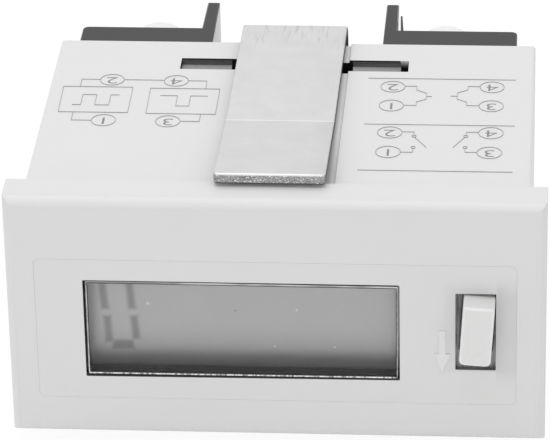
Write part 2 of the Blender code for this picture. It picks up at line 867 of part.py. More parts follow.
def build_key_cap(mat, key_frame):
    half_width = KEY_WIDTH / 2
    half_height = key_height / 2
    outline = rounded(
        -half_width, half_width, -half_height, half_height, KEY_TOP_CORNER, KEY_BOTTOM_CORNER
    )
    button = prism_mesh(outline, "Y", -KEY_PROUD, flange_front + OVERRUN)
    fillet_front(button, -KEY_PROUD, KEY_EDGE)
    cap = to_object("key_cap", button)
    flange = block(
        "flange",
        (-flange_half_width, flange_half_width),
        (flange_front, flange_back),
        (-flange_half_height, flange_half_height),
    )
    plunger = turned(
        "plunger",
        [
            (flange_back - KEY_FLANGE_THICKNESS / 2, 0.0),
            (flange_back - KEY_FLANGE_THICKNESS / 2, PLUNGER_RADIUS),
            (plunger_end, PLUNGER_RADIUS),
            (plunger_end, 0.0),
        ],
        "Y", SMALL_ROUND_STEPS,
    )
    return finish(join(cap, flange, plunger), mat, key_frame)


def build_lock_slider(mat, key_frame):
    slider = block(
        "lock_slider",
        (-slider_half_width, slider_half_width),
        (slider_front, slider_back),
        (slider_low, slider_high),
    )
    half_width = KEY_WIDTH / 2 + KEY_GAP
    half_height = key_height / 2 + KEY_GAP
    cut(
        slider,
        block(
            "chamber",
            (-chamber_half_width, chamber_half_width),
            (slider_front + SLIDER_WALL, slider_back - SLIDER_WALL),
            (-chamber_half_height, chamber_half_height),
        ),
        block(
            "key_way",
            (-half_width, half_width),
            (slider_front - OVERRUN, slider_front + SLIDER_WALL + OVERRUN),
            (-half_height, half_height),
        ),
        turned(
            "plunger_hole",
            [
                (slider_back - SLIDER_WALL - OVERRUN, 0.0),
                (slider_back - SLIDER_WALL - OVERRUN, PLUNGER_RADIUS + KEY_GAP),
                (slider_back + OVERRUN, PLUNGER_RADIUS + KEY_GAP),
                (slider_back + OVERRUN, 0.0),
            ],
            "Y", SMALL_ROUND_STEPS,
        ),
    )
    return finish(slider, mat, key_frame)


def build_key_spring(mat, key_frame):
    front = flange_back + SEAM + SPRING_WIRE / 2
    back = slider_back - SLIDER_WALL - SEAM - SPRING_WIRE / 2
    count = round(SPRING_TURNS * SPRING_STEPS)
    curve = bpy.data.curves.new("key_spring", "CURVE")
    curve.dimensions = "3D"
    curve.bevel_depth = SPRING_WIRE / 2
    curve.bevel_resolution = 1
    curve.use_fill_caps = True
    spline = curve.splines.new("POLY")
    spline.points.add(count)
    for index, point in enumerate(spline.points):
        share = index / count
        angle = 2 * math.pi * SPRING_TURNS * share
        x = SPRING_RADIUS * math.cos(angle)
        z = SPRING_RADIUS * math.sin(angle)
        point.co = (x, front + (back - front) * share, z, 1.0)
    curve.materials.append(mat)
    spring = bpy.data.objects.new("key_spring", curve)
    bpy.context.scene.collection.objects.link(spring)
    spring.parent = key_frame
    return spring


def build_reset_contact(mat, counter):
    profile = [
        (0.0, 0.0),
        (0.0, CONTACT_RADIUS),
        (-CONTACT_HEIGHT * CONTACT_RIM_SHARE, CONTACT_RADIUS),
        (-CONTACT_HEIGHT, CONTACT_RADIUS / 2),
        (-CONTACT_HEIGHT, 0.0),
    ]
    contact = turned("reset_contact", profile, "Y", SMALL_ROUND_STEPS)
    contact.data.transform(Matrix.Translation((key_middle_x, board_front - SEAM, key_middle_z)))
    return finish(contact, mat, counter)


# Terminal block: closes the case and carries the four terminals

def hook_outline(side):
    """One latch hook from the side: arm, sloped facet and the tooth that bears on the slot."""
    slot_back = body_back - LATCH_SLOT_BACK_INSET
    slot_front = slot_back - LATCH_SLOT_LENGTH
    tooth_back = slot_back - HOOK_GAP
    tooth_front = tooth_back - TOOTH_THICKNESS
    facet_front = slot_front + HOOK_GAP
    top = plug_half_height
    tooth_top = body_half_height - HOOK_GAP
    facet_top = tooth_top - TOOTH_HEIGHT
    points = [
        (plug_front + OVERRUN, top - HOOK_THICKNESS),
        (facet_front, top - HOOK_THICKNESS),
        (facet_front, facet_top - FACET_RISE),
        (tooth_front, facet_top),
        (tooth_front, tooth_top),
        (tooth_back, tooth_top),
        (tooth_back, top),
        (plug_front + OVERRUN, top),
    ]
    return [(y, side * z) for y, z in points]


def build_terminal_block(mat, counter):
    body = block(
        "terminal_block",
        (-plug_half_width, plug_half_width),
        (plug_front, body_back),
        (-plug_half_height, plug_half_height),
    )
    additions = []
    for side in (-1, 1):
        post = [
            (rear_x(side, POST_INSET), body_back - OVERRUN),
            (rear_x(side, POST_INSET), post_back),
            (rear_x(side, POST_INSET + POST_TIP_WIDTH), post_back),
            (rear_x(side, post_outside), body_back - OVERRUN),
        ]
        additions.append(prism("post", post, "Z", -plug_half_height, plug_half_height))
        additions.append(
            block(
                "barrier",
                sorted((rear_x(side, post_inner_root), rear_x(side, ledge_reach))),
                (body_back - OVERRUN, body_back + BARRIER_DEPTH),
                (-BARRIER_THICKNESS / 2, BARRIER_THICKNESS / 2),
            )
        )
        for level in (-1, 1):
            ledge_back = body_back + LEDGE_DEPTH
            corner = [
                (
                    rear_x(side, ledge_reach - LEDGE_CORNER + LEDGE_CORNER * math.sin(angle)),
                    ledge_back - LEDGE_CORNER + LEDGE_CORNER * math.cos(angle),
                )
                for angle in (math.pi / 2 * i / BEND_STEPS for i in range(BEND_STEPS + 1))
            ]
            ledge = [
                (rear_x(side, post_inner_root), body_back - OVERRUN),
                (rear_x(side, post_inner_root), ledge_back),
                *corner,
                (rear_x(side, ledge_reach), body_back - OVERRUN),
            ]
            heights = sorted((level * ledge_inside, level * plug_half_height))
            additions.append(prism("ledge", ledge, "Z", *heights))
            up = level * screw_up
            additions.append(
                block(
                    "pedestal",
                    sorted(
                        (
                            rear_x(side, post_inner_root),
                            rear_x(side, screw_across + PLATE_HALF_LENGTH + PEDESTAL_MARGIN),
                        )
                    ),
                    (body_back - OVERRUN, pedestal_back),
                    (
                        up - PLATE_HALF_HEIGHT - PEDESTAL_MARGIN,
                        up + PLATE_HALF_HEIGHT + PEDESTAL_MARGIN,
                    ),
                )
            )
            hook_range = sorted((rear_x(side, HOOK_INNER), rear_x(side, HOOK_OUTER)))
            additions.append(prism("hook", hook_outline(level), "X", *hook_range))
            standoff_x = side * (plug_half_width - STANDOFF_WIDTH)
            standoff_z = level * (plug_half_height - HOOK_THICKNESS - STANDOFF_WIDTH)
            additions.append(
                block(
                    "standoff",
                    (standoff_x - STANDOFF_WIDTH / 2, standoff_x + STANDOFF_WIDTH / 2),
                    (plug_front - STANDOFF_LENGTH, plug_front + OVERRUN),
                    (standoff_z - STANDOFF_WIDTH / 2, standoff_z + STANDOFF_WIDTH / 2),
                )
            )
    fin_x = rear_x(1, post_outside) + FIN_GAP
    fin = [
        (fin_x, body_back + LEDGE_DEPTH - OVERRUN),
        (fin_x, body_back + LEDGE_DEPTH + FIN_DEPTH),
        (fin_x + FIN_TIP_WIDTH, body_back + LEDGE_DEPTH + FIN_DEPTH),
        (fin_x + FIN_WIDTH, body_back + LEDGE_DEPTH - OVERRUN),
    ]
    additions.append(prism("fin", fin, "Z", ledge_inside, plug_half_height))
    additions.append(
        block(
            "clip_stop",
            (CLIP_OFFSET - CLIP_STOP_WIDTH / 2, CLIP_OFFSET + CLIP_STOP_WIDTH / 2),
            (body_back - OVERRUN, body_back + CLIP_BACK_GAP - SEAT_GAP),
            (-CLIP_STOP_HEIGHT / 2, CLIP_STOP_HEIGHT / 2),
        )
    )
    join(body, *additions)
    cutters = []
    for side, level in terminal_places:
        up = level * screw_up
        bore = turned(
            "screw_bore",
            [
                (body_back - PLUG_DEPTH + SCREW_BORE_FLOOR, 0.0),
                (body_back - PLUG_DEPTH + SCREW_BORE_FLOOR, screw_bore),
                (pedestal_back + OVERRUN, screw_bore),
                (pedestal_back + OVERRUN, 0.0),
            ],
            "Y",
        )
        bore.data.transform(Matrix.Translation((rear_x(side, screw_across), 0.0, up)))
        cutters.append(bore)
        cutters.append(
            block(
                "tail_way",
                grown(tail_range_x(side), TAIL_CLEARANCE),
                (plug_front - OVERRUN, pedestal_back + OVERRUN),
                grown((up - TAIL_WIDTH / 2, up + TAIL_WIDTH / 2), TAIL_CLEARANCE),
            )
        )
    cut(body, *cutters)
    return finish(body, mat, counter)


def through_hole(radius, start, end, x, z):
    hole = turned(
        "hole",
        [
            (start - OVERRUN, 0.0),
            (start - OVERRUN, radius),
            (end + OVERRUN, radius),
            (end + OVERRUN, 0.0),
        ],
        "Y",
    )
    hole.data.transform(Matrix.Translation((x, 0.0, z)))
    return hole


def build_terminal_plate(number, side, level, mat, counter):
    front = pedestal_back + SEAM
    across = rear_x(side, screw_across)
    up = level * screw_up
    plate = block(
        f"terminal_plate_{number}",
        (across - PLATE_HALF_LENGTH, across + PLATE_HALF_LENGTH),
        (front, contact_back),
        (up - PLATE_HALF_HEIGHT, up + PLATE_HALF_HEIGHT),
    )
    tail = block(
        "tail",
        tail_range_x(side),
        (terminal_board_front - TAIL_STICK_OUT, front + CONTACT_PLATE_THICKNESS / 2),
        (up - TAIL_WIDTH / 2, up + TAIL_WIDTH / 2),
    )
    join(plate, tail)
    cut(plate, through_hole(SCREW_SHANK_RADIUS + HOLE_GAP, front, contact_back, across, up))
    return finish(plate, mat, counter)


def build_wire_clamp(number, side, level, mat, counter):
    across = rear_x(side, screw_across)
    up = level * screw_up
    outline = [
        (-CLAMP_HALF_LENGTH, clamp_fold_front),
        (-CLAMP_HALF_LENGTH, clamp_back),
        (CLAMP_HALF_LENGTH, clamp_back),
        (CLAMP_HALF_LENGTH, clamp_fold_front),
        (CLAMP_HALF_LENGTH - CLAMP_FOLD_WIDTH, clamp_fold_front),
        (CLAMP_HALF_LENGTH - CLAMP_FOLD_WIDTH, clamp_front),
        (-CLAMP_HALF_LENGTH + CLAMP_FOLD_WIDTH, clamp_front),
        (-CLAMP_HALF_LENGTH + CLAMP_FOLD_WIDTH, clamp_fold_front),
    ]
    outline = [(across + x, y) for x, y in outline]
    clamp = prism(
        f"wire_clamp_{number}", outline, "Z", up - CLAMP_HALF_HEIGHT, up + CLAMP_HALF_HEIGHT
    )
    cut(clamp, through_hole(SCREW_SHANK_RADIUS + HOLE_GAP, clamp_front, clamp_back, across, up))
    return finish(clamp, mat, counter, origin=(across, clamp_front, up))


def build_screw_mesh():
    """One screw about its own axis, its head's underside at the origin."""
    tip = -SCREW_SHANK_LENGTH
    profile = [
        (tip, 0.0),
        (tip, SCREW_SHANK_RADIUS - SCREW_TIP),
        (tip + SCREW_TIP, SCREW_SHANK_RADIUS),
        (0.0, SCREW_SHANK_RADIUS),
        (0.0, SCREW_HEAD_RADIUS),
    ]
    for down, inwards in SCREW_CROWN_SHARES:
        height = SCREW_HEAD_HEIGHT - SCREW_HEAD_CROWN * down
        profile.append((height, SCREW_HEAD_RADIUS - SCREW_HEAD_CROWN * inwards))
    profile.append((SCREW_HEAD_HEIGHT, 0.0))
    screw = turned("screw", profile, "Y")
    recess = (SCREW_HEAD_HEIGHT - RECESS_DEPTH, SCREW_HEAD_HEIGHT + OVERRUN)
    long_way = (-RECESS_LENGTH / 2, RECESS_LENGTH / 2)
    short_way = (-RECESS_WIDTH / 2, RECESS_WIDTH / 2)
    cross = join(
        block("recess", long_way, recess, short_way), block("recess", short_way, recess, long_way)
    )
    cut(screw, cross)
    mesh = screw.data
    mesh.shade_smooth()
    mesh.set_sharp_from_angle(angle=SMOOTH_ANGLE)
    bpy.data.objects.remove(screw)
    return mesh


def build_terminal_hardware(steel, brass, counter):
    screw_mesh = build_screw_mesh()
    screw_mesh.materials.clear()
    screw_mesh.materials.append(steel)
    for number, (side, level) in enumerate(terminal_places, start=1):
        build_terminal_plate(number, side, level, brass, counter)
        build_wire_clamp(number, side, level, steel, counter)
        screw = bpy.data.objects.new(f"terminal_screw_{number}", screw_mesh)
        bpy.context.scene.collection.objects.link(screw)
        screw.location = (rear_x(side, screw_across), head_front, level * screw_up)
        screw.parent = counter


# Mounting clip: a bent strap, lofted along its path so that its tips can be rounded

def clip_stations():
    """The strap's upper half as (y, z, direction, half width), from the tip to the back."""
    tip_y = BEZEL_DEPTH - CLIP_TIP_OVERHANG
    crease_y = tip_y + CLIP_FLARE_LENGTH
    half_width = CLIP_WIDTH / 2
    middle = CLIP_THICKNESS / 2
    along = Vector((math.cos(clip_slope), -math.sin(clip_slope)))
    stations = []
    for step in range(CORNER_STEPS + 1):
        angle = math.pi / 2 * step / CORNER_STEPS
        run = CLIP_TIP_CORNER * (1 - math.cos(angle))
        narrow = CLIP_TIP_CORNER * (1 - math.sin(angle))
        point = Vector((tip_y, clip_tip + middle)) + along * run
        direction = 0.0 if step == 0 else -clip_slope
        stations.append((point.x, point.y, direction, half_width - narrow))
    stations.append((crease_y, clip_arm + middle, -clip_slope / 2, half_width))
    bend_y = body_back + CLIP_BACK_GAP - CLIP_BEND
    bend_z = clip_arm - CLIP_BEND
    radius = CLIP_BEND + middle
    for step in range(BEND_STEPS + 1):
        angle = math.pi / 2 * step / BEND_STEPS
        stations.append(
            (
                bend_y + radius * math.sin(angle),
                bend_z + radius * math.cos(angle),
                -angle,
                half_width,
            )
        )
    return stations


def build_mounting_clip(mat, counter):
    upper = clip_stations()
    lower = [(y, -z, math.pi - turn, half) for y, z, turn, half in reversed(upper)]
    bm = bmesh.new()
    rings = []
    for y, z, turn, half in upper + lower:
        normal = Vector((-math.sin(turn), math.cos(turn))) * CLIP_THICKNESS / 2
        ring = []
        for across, out in ((-1, -1), (1, -1), (1, 1), (-1, 1)):
            ring.append(
                bm.verts.new(
                    (CLIP_OFFSET + across * half, y + out * normal.x, z + out * normal.y)
                )
            )
        rings.append(ring)
    for one, two in zip(rings, rings[1:]):
        for i in range(len(one)):
            j = (i + 1) % len(one)
            bm.faces.new((one[i], one[j], two[j], two[i]))
    bm.faces.new(rings[0])
    bm.faces.new(list(reversed(rings[-1])))
    clip = to_object("mounting_clip", bm)
    return finish(clip, mat, counter, origin=(CLIP_OFFSET, body_back + CLIP_BACK_GAP, 0.0))


def main():
    clear_scene()
    case_grey = make_material("case_grey", (0.74, 0.74, 0.74), 0.45)
    plate_grey = make_material("plate_grey", (0.73, 0.73, 0.73), 0.42)
    key_white = make_material("key_white", (0.76, 0.76, 0.76), 0.35)
    clear = make_material("clear_lens", (0.75, 0.77, 0.78), 0.05)
    glass = make_material("display_glass", (0.36, 0.37, 0.36), 0.15)
    dark = make_material("dark_plastic", (0.06, 0.06, 0.06), 0.5)
    black = make_material("black_plastic", (0.02, 0.02, 0.02), 0.4)
    rubber = make_material("contact_rubber", (0.12, 0.12, 0.12), 0.8)
    board = make_material("board_green", (0.04, 0.16, 0.07), 0.4)
    resin = make_material("chip_resin", (0.015, 0.015, 0.015), 0.3)
    can = make_material("can_metal", (0.6, 0.6, 0.6), 0.3, 1.0)
    sleeve = make_material("capacitor_sleeve", (0.02, 0.03, 0.06), 0.35)
    cell = make_material("cell_sleeve", (0.35, 0.36, 0.38), 0.35, 0.6)
    nickel = make_material("nickel_strip", (0.62, 0.60, 0.56), 0.3, 1.0)
    steel = make_material("zinc_steel", (0.66, 0.66, 0.67), 0.3, 1.0)
    brass = make_material("contact_brass", (0.65, 0.50, 0.26), 0.3, 1.0)
    strap = make_material("strap_steel", (0.60, 0.60, 0.60), 0.4, 1.0)

    counter = add_empty("counter", (0.0, -depth_middle, stand_height))
    key_frame = add_empty("key_frame", (key_middle_x, 0.0, key_middle_z), counter, KEY_LEAN)

    build_case(case_grey, counter)
    build_front_plate(plate_grey, counter)
    build_window_lens(clear, counter)
    build_lcd_holder(black, counter)
    build_lcd_glass(glass, counter)
    build_contact_strips(rubber, counter)
    build_front_board(board, counter)
    build_terminal_board(board, counter)
    build_counter_chip(resin, counter)
    build_crystal(can, counter)
    build_capacitor(sleeve, counter)
    build_resistor_array(resin, counter)
    build_battery(cell, counter)
    build_battery_tabs(nickel, counter)
    build_board_link(black, counter)
    build_lock_slider(dark, key_frame)
    build_key_cap(key_white, key_frame)
    build_key_spring(steel, key_frame)
    build_reset_contact(rubber, counter)
    build_terminal_block(dark, counter)
    build_terminal_hardware(steel, brass, counter)
    build_mounting_clip(strap, counter)


main()
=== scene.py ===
# Digital panel counter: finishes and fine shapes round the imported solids
import math

import bmesh
import bpy
from mathutils import Matrix, Vector


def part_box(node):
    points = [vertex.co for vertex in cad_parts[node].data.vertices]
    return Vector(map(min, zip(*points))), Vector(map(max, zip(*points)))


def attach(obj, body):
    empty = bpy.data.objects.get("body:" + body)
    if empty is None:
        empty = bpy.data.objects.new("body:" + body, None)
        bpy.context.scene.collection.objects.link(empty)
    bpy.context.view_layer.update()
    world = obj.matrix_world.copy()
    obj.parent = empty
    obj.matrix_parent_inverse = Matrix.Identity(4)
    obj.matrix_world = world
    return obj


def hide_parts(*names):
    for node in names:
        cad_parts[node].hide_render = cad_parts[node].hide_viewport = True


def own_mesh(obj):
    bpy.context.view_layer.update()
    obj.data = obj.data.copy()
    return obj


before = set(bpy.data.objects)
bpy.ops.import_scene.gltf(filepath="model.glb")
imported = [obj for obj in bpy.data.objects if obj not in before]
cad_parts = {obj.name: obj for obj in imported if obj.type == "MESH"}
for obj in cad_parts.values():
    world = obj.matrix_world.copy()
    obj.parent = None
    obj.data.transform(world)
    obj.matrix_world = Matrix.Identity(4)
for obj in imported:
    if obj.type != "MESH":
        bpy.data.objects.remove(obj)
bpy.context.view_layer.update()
mm = 0.001
caseLow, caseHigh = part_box("case")
frontCentre = Vector((0.0, caseLow.y, (caseLow.z + caseHigh.z) / 2))  # middle of the bezel's front


def spot(x, y, z):
    # millimetres right, back and up from the middle of the bezel's front
    return frontCentre + Vector((x, y, z)) * mm


def placeOf(point):
    # the other way round: a point's millimetres from the middle of the bezel's front
    return (point - frontCentre) / mm


def paint(tone):
    # a grey level, or red, green and blue, as an opaque colour
    return (tone, tone, tone, 1.0) if isinstance(tone, float) else (*tone, 1.0)


# Node trees, for finishes and for Geometry Nodes alike

class Wire:
    def __init__(self, tree, socket):
        self.tree = tree
        self.socket = socket

    def __add__(self, other):
        return self.tree.maths("ADD", self, other)

    def __sub__(self, other):
        return self.tree.maths("SUBTRACT", self, other)

    def __rsub__(self, other):
        return self.tree.maths("SUBTRACT", other, self)

    def __mul__(self, other):
        return self.tree.maths("MULTIPLY", self, other)

    def __pow__(self, other):
        return self.tree.maths("POWER", self, other)

    def __gt__(self, other):
        return self.tree.maths("GREATER_THAN", self, other)

    def __lt__(self, other):
        return self.tree.maths("LESS_THAN", self, other)

    def __abs__(self):
        return self.tree.maths("ABSOLUTE", self)


class Tree:
    family = "ShaderNode"  # how the names of its kinds of nodes begin

    def __init__(self, graph):
        self.graph = graph

    def feed(self, socket, value):
        if isinstance(value, Wire):
            self.graph.links.new(value.socket, socket)
        else:
            socket.default_value = value

    def node(self, kind, values=None, output=0, **settings):
        made = self.graph.nodes.new(self.family + kind)
        for name, value in settings.items():
            setattr(made, name, value)
        for key, value in (values or {}).items():
            self.feed(made.inputs[key], value)
        return Wire(self, made.outputs[output])

    def maths(self, operation, *values):
        return self.node("Math", dict(enumerate(values)), operation=operation)

    def vector(self, operation, *values):
        return self.node("VectorMath", dict(enumerate(values)), operation=operation)

    def larger(self, one, two):
        return self.maths("MAXIMUM", one, two)

    def smooth(self, value, low, high):
        # rises softly from 0 at low to 1 at high
        values = {0: value, 1: low, 2: high}
        return self.node("MapRange", values, interpolation_type="SMOOTHSTEP", clamp=True)

    def mix(self, share, one, two):
        # one and two are wires, grey levels, or red, green and blue
        one, two = (value if isinstance(value, Wire) else paint(value) for value in (one, two))
        return self.node("Mix", {0: share, 6: one, 7: two}, 2, data_type="RGBA")

    def shown(self):
        # 1 for rays that bring the background to the camera, straight, mirrored or through glass
        kinds = ("Is Camera Ray", "Is Glossy Ray", "Is Transmission Ray")
        seen, mirrored, through = (self.node("LightPath", output=kind) for kind in kinds)
        return self.larger(self.larger(seen, mirrored), through)


class Look(Tree):
    # one finish: a Principled shader and what varies over it
    def __init__(self, name, tone, metallic=0.0, ior=None):
        self.material = bpy.data.materials.new(name)
        self.material.use_nodes = True
        super().__init__(self.material.node_tree)
        self.shader = self.graph.nodes["Principled BSDF"]
        self.colour = paint(tone)[:3]
        self.set("Base Color", paint(tone))
        self.set("Metallic", metallic)
        if ior:
            self.set("IOR", ior)
        self.material.diffuse_color = paint(tone)

    def set(self, name, value):
        self.feed(self.shader.inputs[name], value)

    def where(self):
        return self.node("TexCoord", output="Object")

    def place(self):
        # across, back and up, in millimetres from the middle of the bezel's front
        metres = self.vector("SUBTRACT", self.where(), tuple(frontCentre))
        split = self.node("SeparateXYZ", {0: self.vector("DIVIDE", metres, (mm, mm, mm))})
        return [Wire(self, socket) for socket in split.socket.node.outputs]

    def noise(self, size, detail=2.0, stretch=(1, 1, 1), roughness=0.5):
        # size is the pattern's grain in millimetres
        where = self.vector("MULTIPLY", self.where(), stretch)
        values = {"Vector": where, "Scale": 1 / (size * mm), "Detail": detail, "Roughness": roughness}
        return self.node("TexNoise", values)

    def finish(self, colour, roughness, *layers):
        # each layer of the relief is (height from 0 to 1, its depth in micrometres)
        total = None
        for height, depth in layers:
            part = height * (depth * 1e-6)
            total = part if total is None else total + part
        values = {"Strength": 1.0, "Distance": 1.0, "Height": total}
        self.set("Normal", self.node("Bump", values))
        self.set("Base Color", colour)
        self.set("Roughness", roughness)
        return self.material

    def shade(self, share, dark, light):
        # colour between two multiples of the finish's own
        low, high = ([c * times for c in self.colour] for times in (dark, light))
        return self.mix(share, low, high)

    def mottle(self):
        # broad clouds, and the same clouds with specks
        cloud = self.noise(6.0, 3.0)
        return cloud, cloud * 0.65 + self.noise(0.35, 4.0) * 0.35

    def skin(self, grain=3.0, grainSize=0.09):
        # the relief of a moulded face: fine grain and slow waves
        return (self.noise(grainSize), grain), (self.noise(4.0, 1.0), 6.0)


# Finishes, all places in millimetres

def moulded(name, tone, roughness, mottle=0.02, grain=3.0, grainSize=0.09, ior=1.49):
    look = Look(name, tone, ior=ior)
    cloud, mixed = look.mottle()
    colour = look.shade(mixed, 1 - mottle, 1 + mottle)
    rough = look.smooth(cloud, 0.2, 0.8) * 0.08 + (roughness - 0.04)
    return look.finish(colour, rough, *look.skin(grain, grainSize))


def casePlastic(tone, wall, floorTop, strapEdge):
    # the case's plastic, and beside the strap in the channel: painted light, painted strap shadow,
    # painted wall shade
    look = Look("caseGrey", tone, ior=1.49)
    across, back, up = look.place()
    cloud, mixed = look.mottle()
    near = (up > 10.0) * (back > 4.0)
    floor = near * (up < floorTop) * (abs(across) < wall)
    floor = floor * look.smooth(across, strapEdge - 0.35, strapEdge)
    paintedLight = floor * look.smooth(back, 8.0, 15.5)
    light = look.mix(paintedLight * 0.85, look.shade(mixed, 0.98, 1.02), 0.96)
    paintedStrapShadow = floor * (1 - look.smooth(across, strapEdge, strapEdge + 0.45))
    # painted shade: a dark line along the channel's wall
    line = near * (1 - look.smooth(abs(across - wall), 0.02, 0.08))
    colour = look.mix(paintedStrapShadow * 0.36 + line * 0.34, light, 0.0)
    return look.finish(colour, look.smooth(cloud, 0.2, 0.8) * 0.08 + 0.38, *look.skin())


def slotShade(litFrom):
    # walls of the latch slots, painted dark as shade, but with the case's pale tone at the top of the
    # end that the right hook leaves open
    look = Look("slotShade", 0.008)
    across, back, up = look.place()
    # the pale top of the open end; elsewhere the walls are painted shade
    lit = look.smooth(abs(up), 10.1, 11.1) ** 2.0 * (across > litFrom)
    grain = look.noise(0.3, 3.0, (1, 1, 0.2))
    colour = look.mix(lit, look.shade(grain, 0.6, 1.4), 0.8)
    return look.finish(colour, grain * 0.1 + 0.45, (grain, 3.0))


def hookTooth():
    # the hook teeth's plastic: a paler copy of the block's dark plastic as painted light, with painted
    # shade from the slot's walls on its narrow top
    look = Look("hookTooth", 0.14)
    up = look.place()[2]
    # painted shade on the tooth's narrow top
    top = look.smooth(abs(up), 10.93, 10.98)
    grain = look.noise(0.3, 3.0, (1, 1, 0.2))
    colour = look.mix(top, look.shade(grain, 0.7, 1.3), 0.015)
    return look.finish(colour, grain * 0.1 + 0.5, (grain, 4.0))


def platePlastic(tone, hole):
    # the front plate's plastic, with painted shade round the key hole, strongest and widest to its
    # right
    look = Look("plateGrey", tone, ior=1.49)
    across, back, up = look.place()
    left, right, bottom, top = hole
    aside = look.larger(left - across, across - right)
    above = look.larger((bottom - up) * 3.0, up - top)
    away = look.larger(look.larger(aside, above), 0.0)
    level = 1 - look.smooth(abs(up - (bottom + top) / 2), 3.2, 6.0)
    beyond = look.smooth(across, right, right + 0.1) * level
    # painted shade round the key hole and beyond its right side
    shadow = (1 - look.smooth(away, 0.0, 1.5)) * 0.07 + beyond * 0.11
    mixed = look.mottle()[1]
    colour = look.mix(shadow, look.shade(mixed, 0.98, 1.02), 0.0)
    return look.finish(colour, mixed * 0.08 + 0.36, *look.skin())


def streakedPlastic():
    # the slider's plastic, drawn in streaks up and down, with painted light making it paler at its foot
    look = Look("sliderGrey", 0.28)
    up = look.place()[2]
    streak = look.smooth(look.noise(0.2, 3.0, (1, 1, 0.08)), 0.35, 0.65)
    # painted light: paler towards the foot, under the key
    foot = 1 - look.smooth(up, -4.4, -2.8)
    plain = look.shade(streak, 0.5, 1.5)
    colour = look.mix(foot, plain, look.shade(streak, 1.0, 1.9))
    return look.finish(colour, streak * 0.1 + 0.3, (streak, 6.0))


def framePlastic(low, high):
    # black, with a painted highlight on the lower bar's upper edge, between low and high
    look = Look("framePlastic", 0.012)
    up = look.place()[2]
    streak = look.smooth(look.noise(0.8, 3.0, (0.15, 1, 3)), 0.3, 0.7)
    # painted highlight along the lower bar's upper edge
    edge = look.smooth(up, low, high) * (up < 0.0)
    colour = look.mix(edge, look.colour, look.shade(streak, 2.0, 4.5))
    return look.finish(colour, streak * 0.1 + 0.35, (streak, 2.0))


def printedInk():
    look = Look("printedInk", 0.24)
    worn = look.smooth(look.noise(0.12, 3.0), 0.3, 0.7)
    return look.finish(look.shade(worn, 0.94, 1.08), worn * 0.1 + 0.5, (worn, 1.5))


def plated(name, tone, roughness):
    look = Look(name, tone, 1.0)
    cloud = look.noise(1.6, 3.0)
    fine = look.noise(0.12)
    colour = look.shade(cloud * 0.6 + fine * 0.4, 0.95, 1.05)
    rough = look.smooth(cloud, 0.25, 0.75) * 0.12 + (roughness - 0.05)
    return look.finish(colour, rough, (fine, 2.0), (cloud, 5.0))


def strapSteel(creaseY):
    # blotches, press marks at the rear bend, cross lines, a darker right side and a bright crease on
    # the flare
    look = Look("strapSteel", (0.645, 0.645, 0.648), 1.0)
    across, back, up = look.place()
    broad = look.smooth(look.noise(2.6, 3.0, (1, 1, 0.2), 0.6), 0.3, 0.7)
    fine = look.noise(0.16, 4.0, (1, 1, 0.2), 0.7)
    press = look.smooth(look.noise(0.3, 3.0, (1, 0.1, 0.05)), 0.52, 0.66)
    press = press * look.smooth(back, 29.5, 34.5)
    onFlare = 1 - look.smooth(back, creaseY - 0.3, creaseY)
    lines = look.smooth(look.noise(0.12, 2.0, (0.04, 1, 0.1)), 0.35, 0.65) * onFlare
    outer = look.smooth(across, 2.4, 4.3) * onFlare
    light = look.shade(broad * 0.35 + fine * 0.65, 0.93, 1.06)
    worn = look.mix(press * 0.16 + lines * 0.02 + outer * 0.04, light, 0.0)
    crease = 1 - look.smooth(abs(back - creaseY), 0.06, 0.16)
    colour = look.mix(crease * 0.55, worn, 0.84)
    rough = fine * 0.2 + 0.34 + press * 0.1
    return look.finish(colour, rough, (fine, 2.0), (broad, 7.0), (lines, 1.5), (press, 4.0))


def cutSteel(low, high, tip):
    # sheared edges: torn grey with sparks on the end; dark along the sides, partly the cut's own colour
    # and partly painted shade, and below the end a painted shadow line
    look = Look("cutSteel", 0.36, 1.0)
    across, back, up = look.place()
    torn = look.noise(0.11, 5.0, roughness=0.75)
    spark = look.smooth(look.noise(0.13, 4.0, (0.7, 1, 1)), 0.56, 0.66)
    face = look.smooth(abs(up), low, high)
    end = 1 - look.smooth(back, tip, tip + 0.25)
    grey = look.mix(spark, look.shade(look.smooth(torn, 0.3, 0.7), 0.35, 1.5), 0.92)
    # darker below the mottled end and on the sides: painted shade, partly the cut's own colour
    colour = look.mix(face * end, look.shade(torn, 0.12, 0.4), grey)
    return look.finish(colour, torn * 0.3 + 0.35, (torn, 35.0), (spark, 12.0))


def clearPlastic():
    look = Look("clearPlastic", 0.98, ior=1.3)
    look.set("Transmission Weight", 1.0)
    dust = look.smooth(look.noise(0.4, 6.0), 0.66, 0.8)
    look.set("Roughness", dust * 0.1 + 0.01)
    return look.material


def lensRim():
    # the lens's rough border, its colour a painted highlight, whitest and most broken along its lower
    # edge and darker above
    look = Look("lensRim", 0.5)
    up = look.place()[2]
    below = 1 - look.smooth(up, -5.4, -5.0)
    above = look.smooth(up, 3.3, 3.5)
    speck = look.smooth(look.noise(0.2, 4.0, (1, 1, 0.3), 0.7), 0.43, 0.54)
    broad = look.smooth(look.noise(5.0), 0.45, 0.6)
    sides = look.mix(above, look.shade(speck, 0.8, 1.2), look.shade(broad, 0.6, 1.3))
    colour = look.mix(below, sides, look.shade(speck, 0.4, 1.95))
    return look.finish(colour, speck * 0.2 + 0.3, (speck, 8.0))


def segmentMask(look, across, up, digit):
    # how dark each point of the glass is, from its distance to each bar of the digit
    outside, blur = digit["halfWidth"], digit["blur"]
    total = None
    for (x1, z1), (x2, z2) in digit["bars"]:
        run = Vector((x2 - x1, z2 - z1))
        half = run.length / 2
        run.normalize()
        fromX = across - x1
        fromZ = up - z1
        along = fromX * run.x + fromZ * run.y
        aside = abs(fromX * run.y - fromZ * run.x)
        nearest = look.larger(aside, abs(along - half) - half + outside)
        bar = 1 - look.smooth(nearest, outside - blur, outside + blur)
        total = bar if total is None else look.larger(total, bar)
    return total


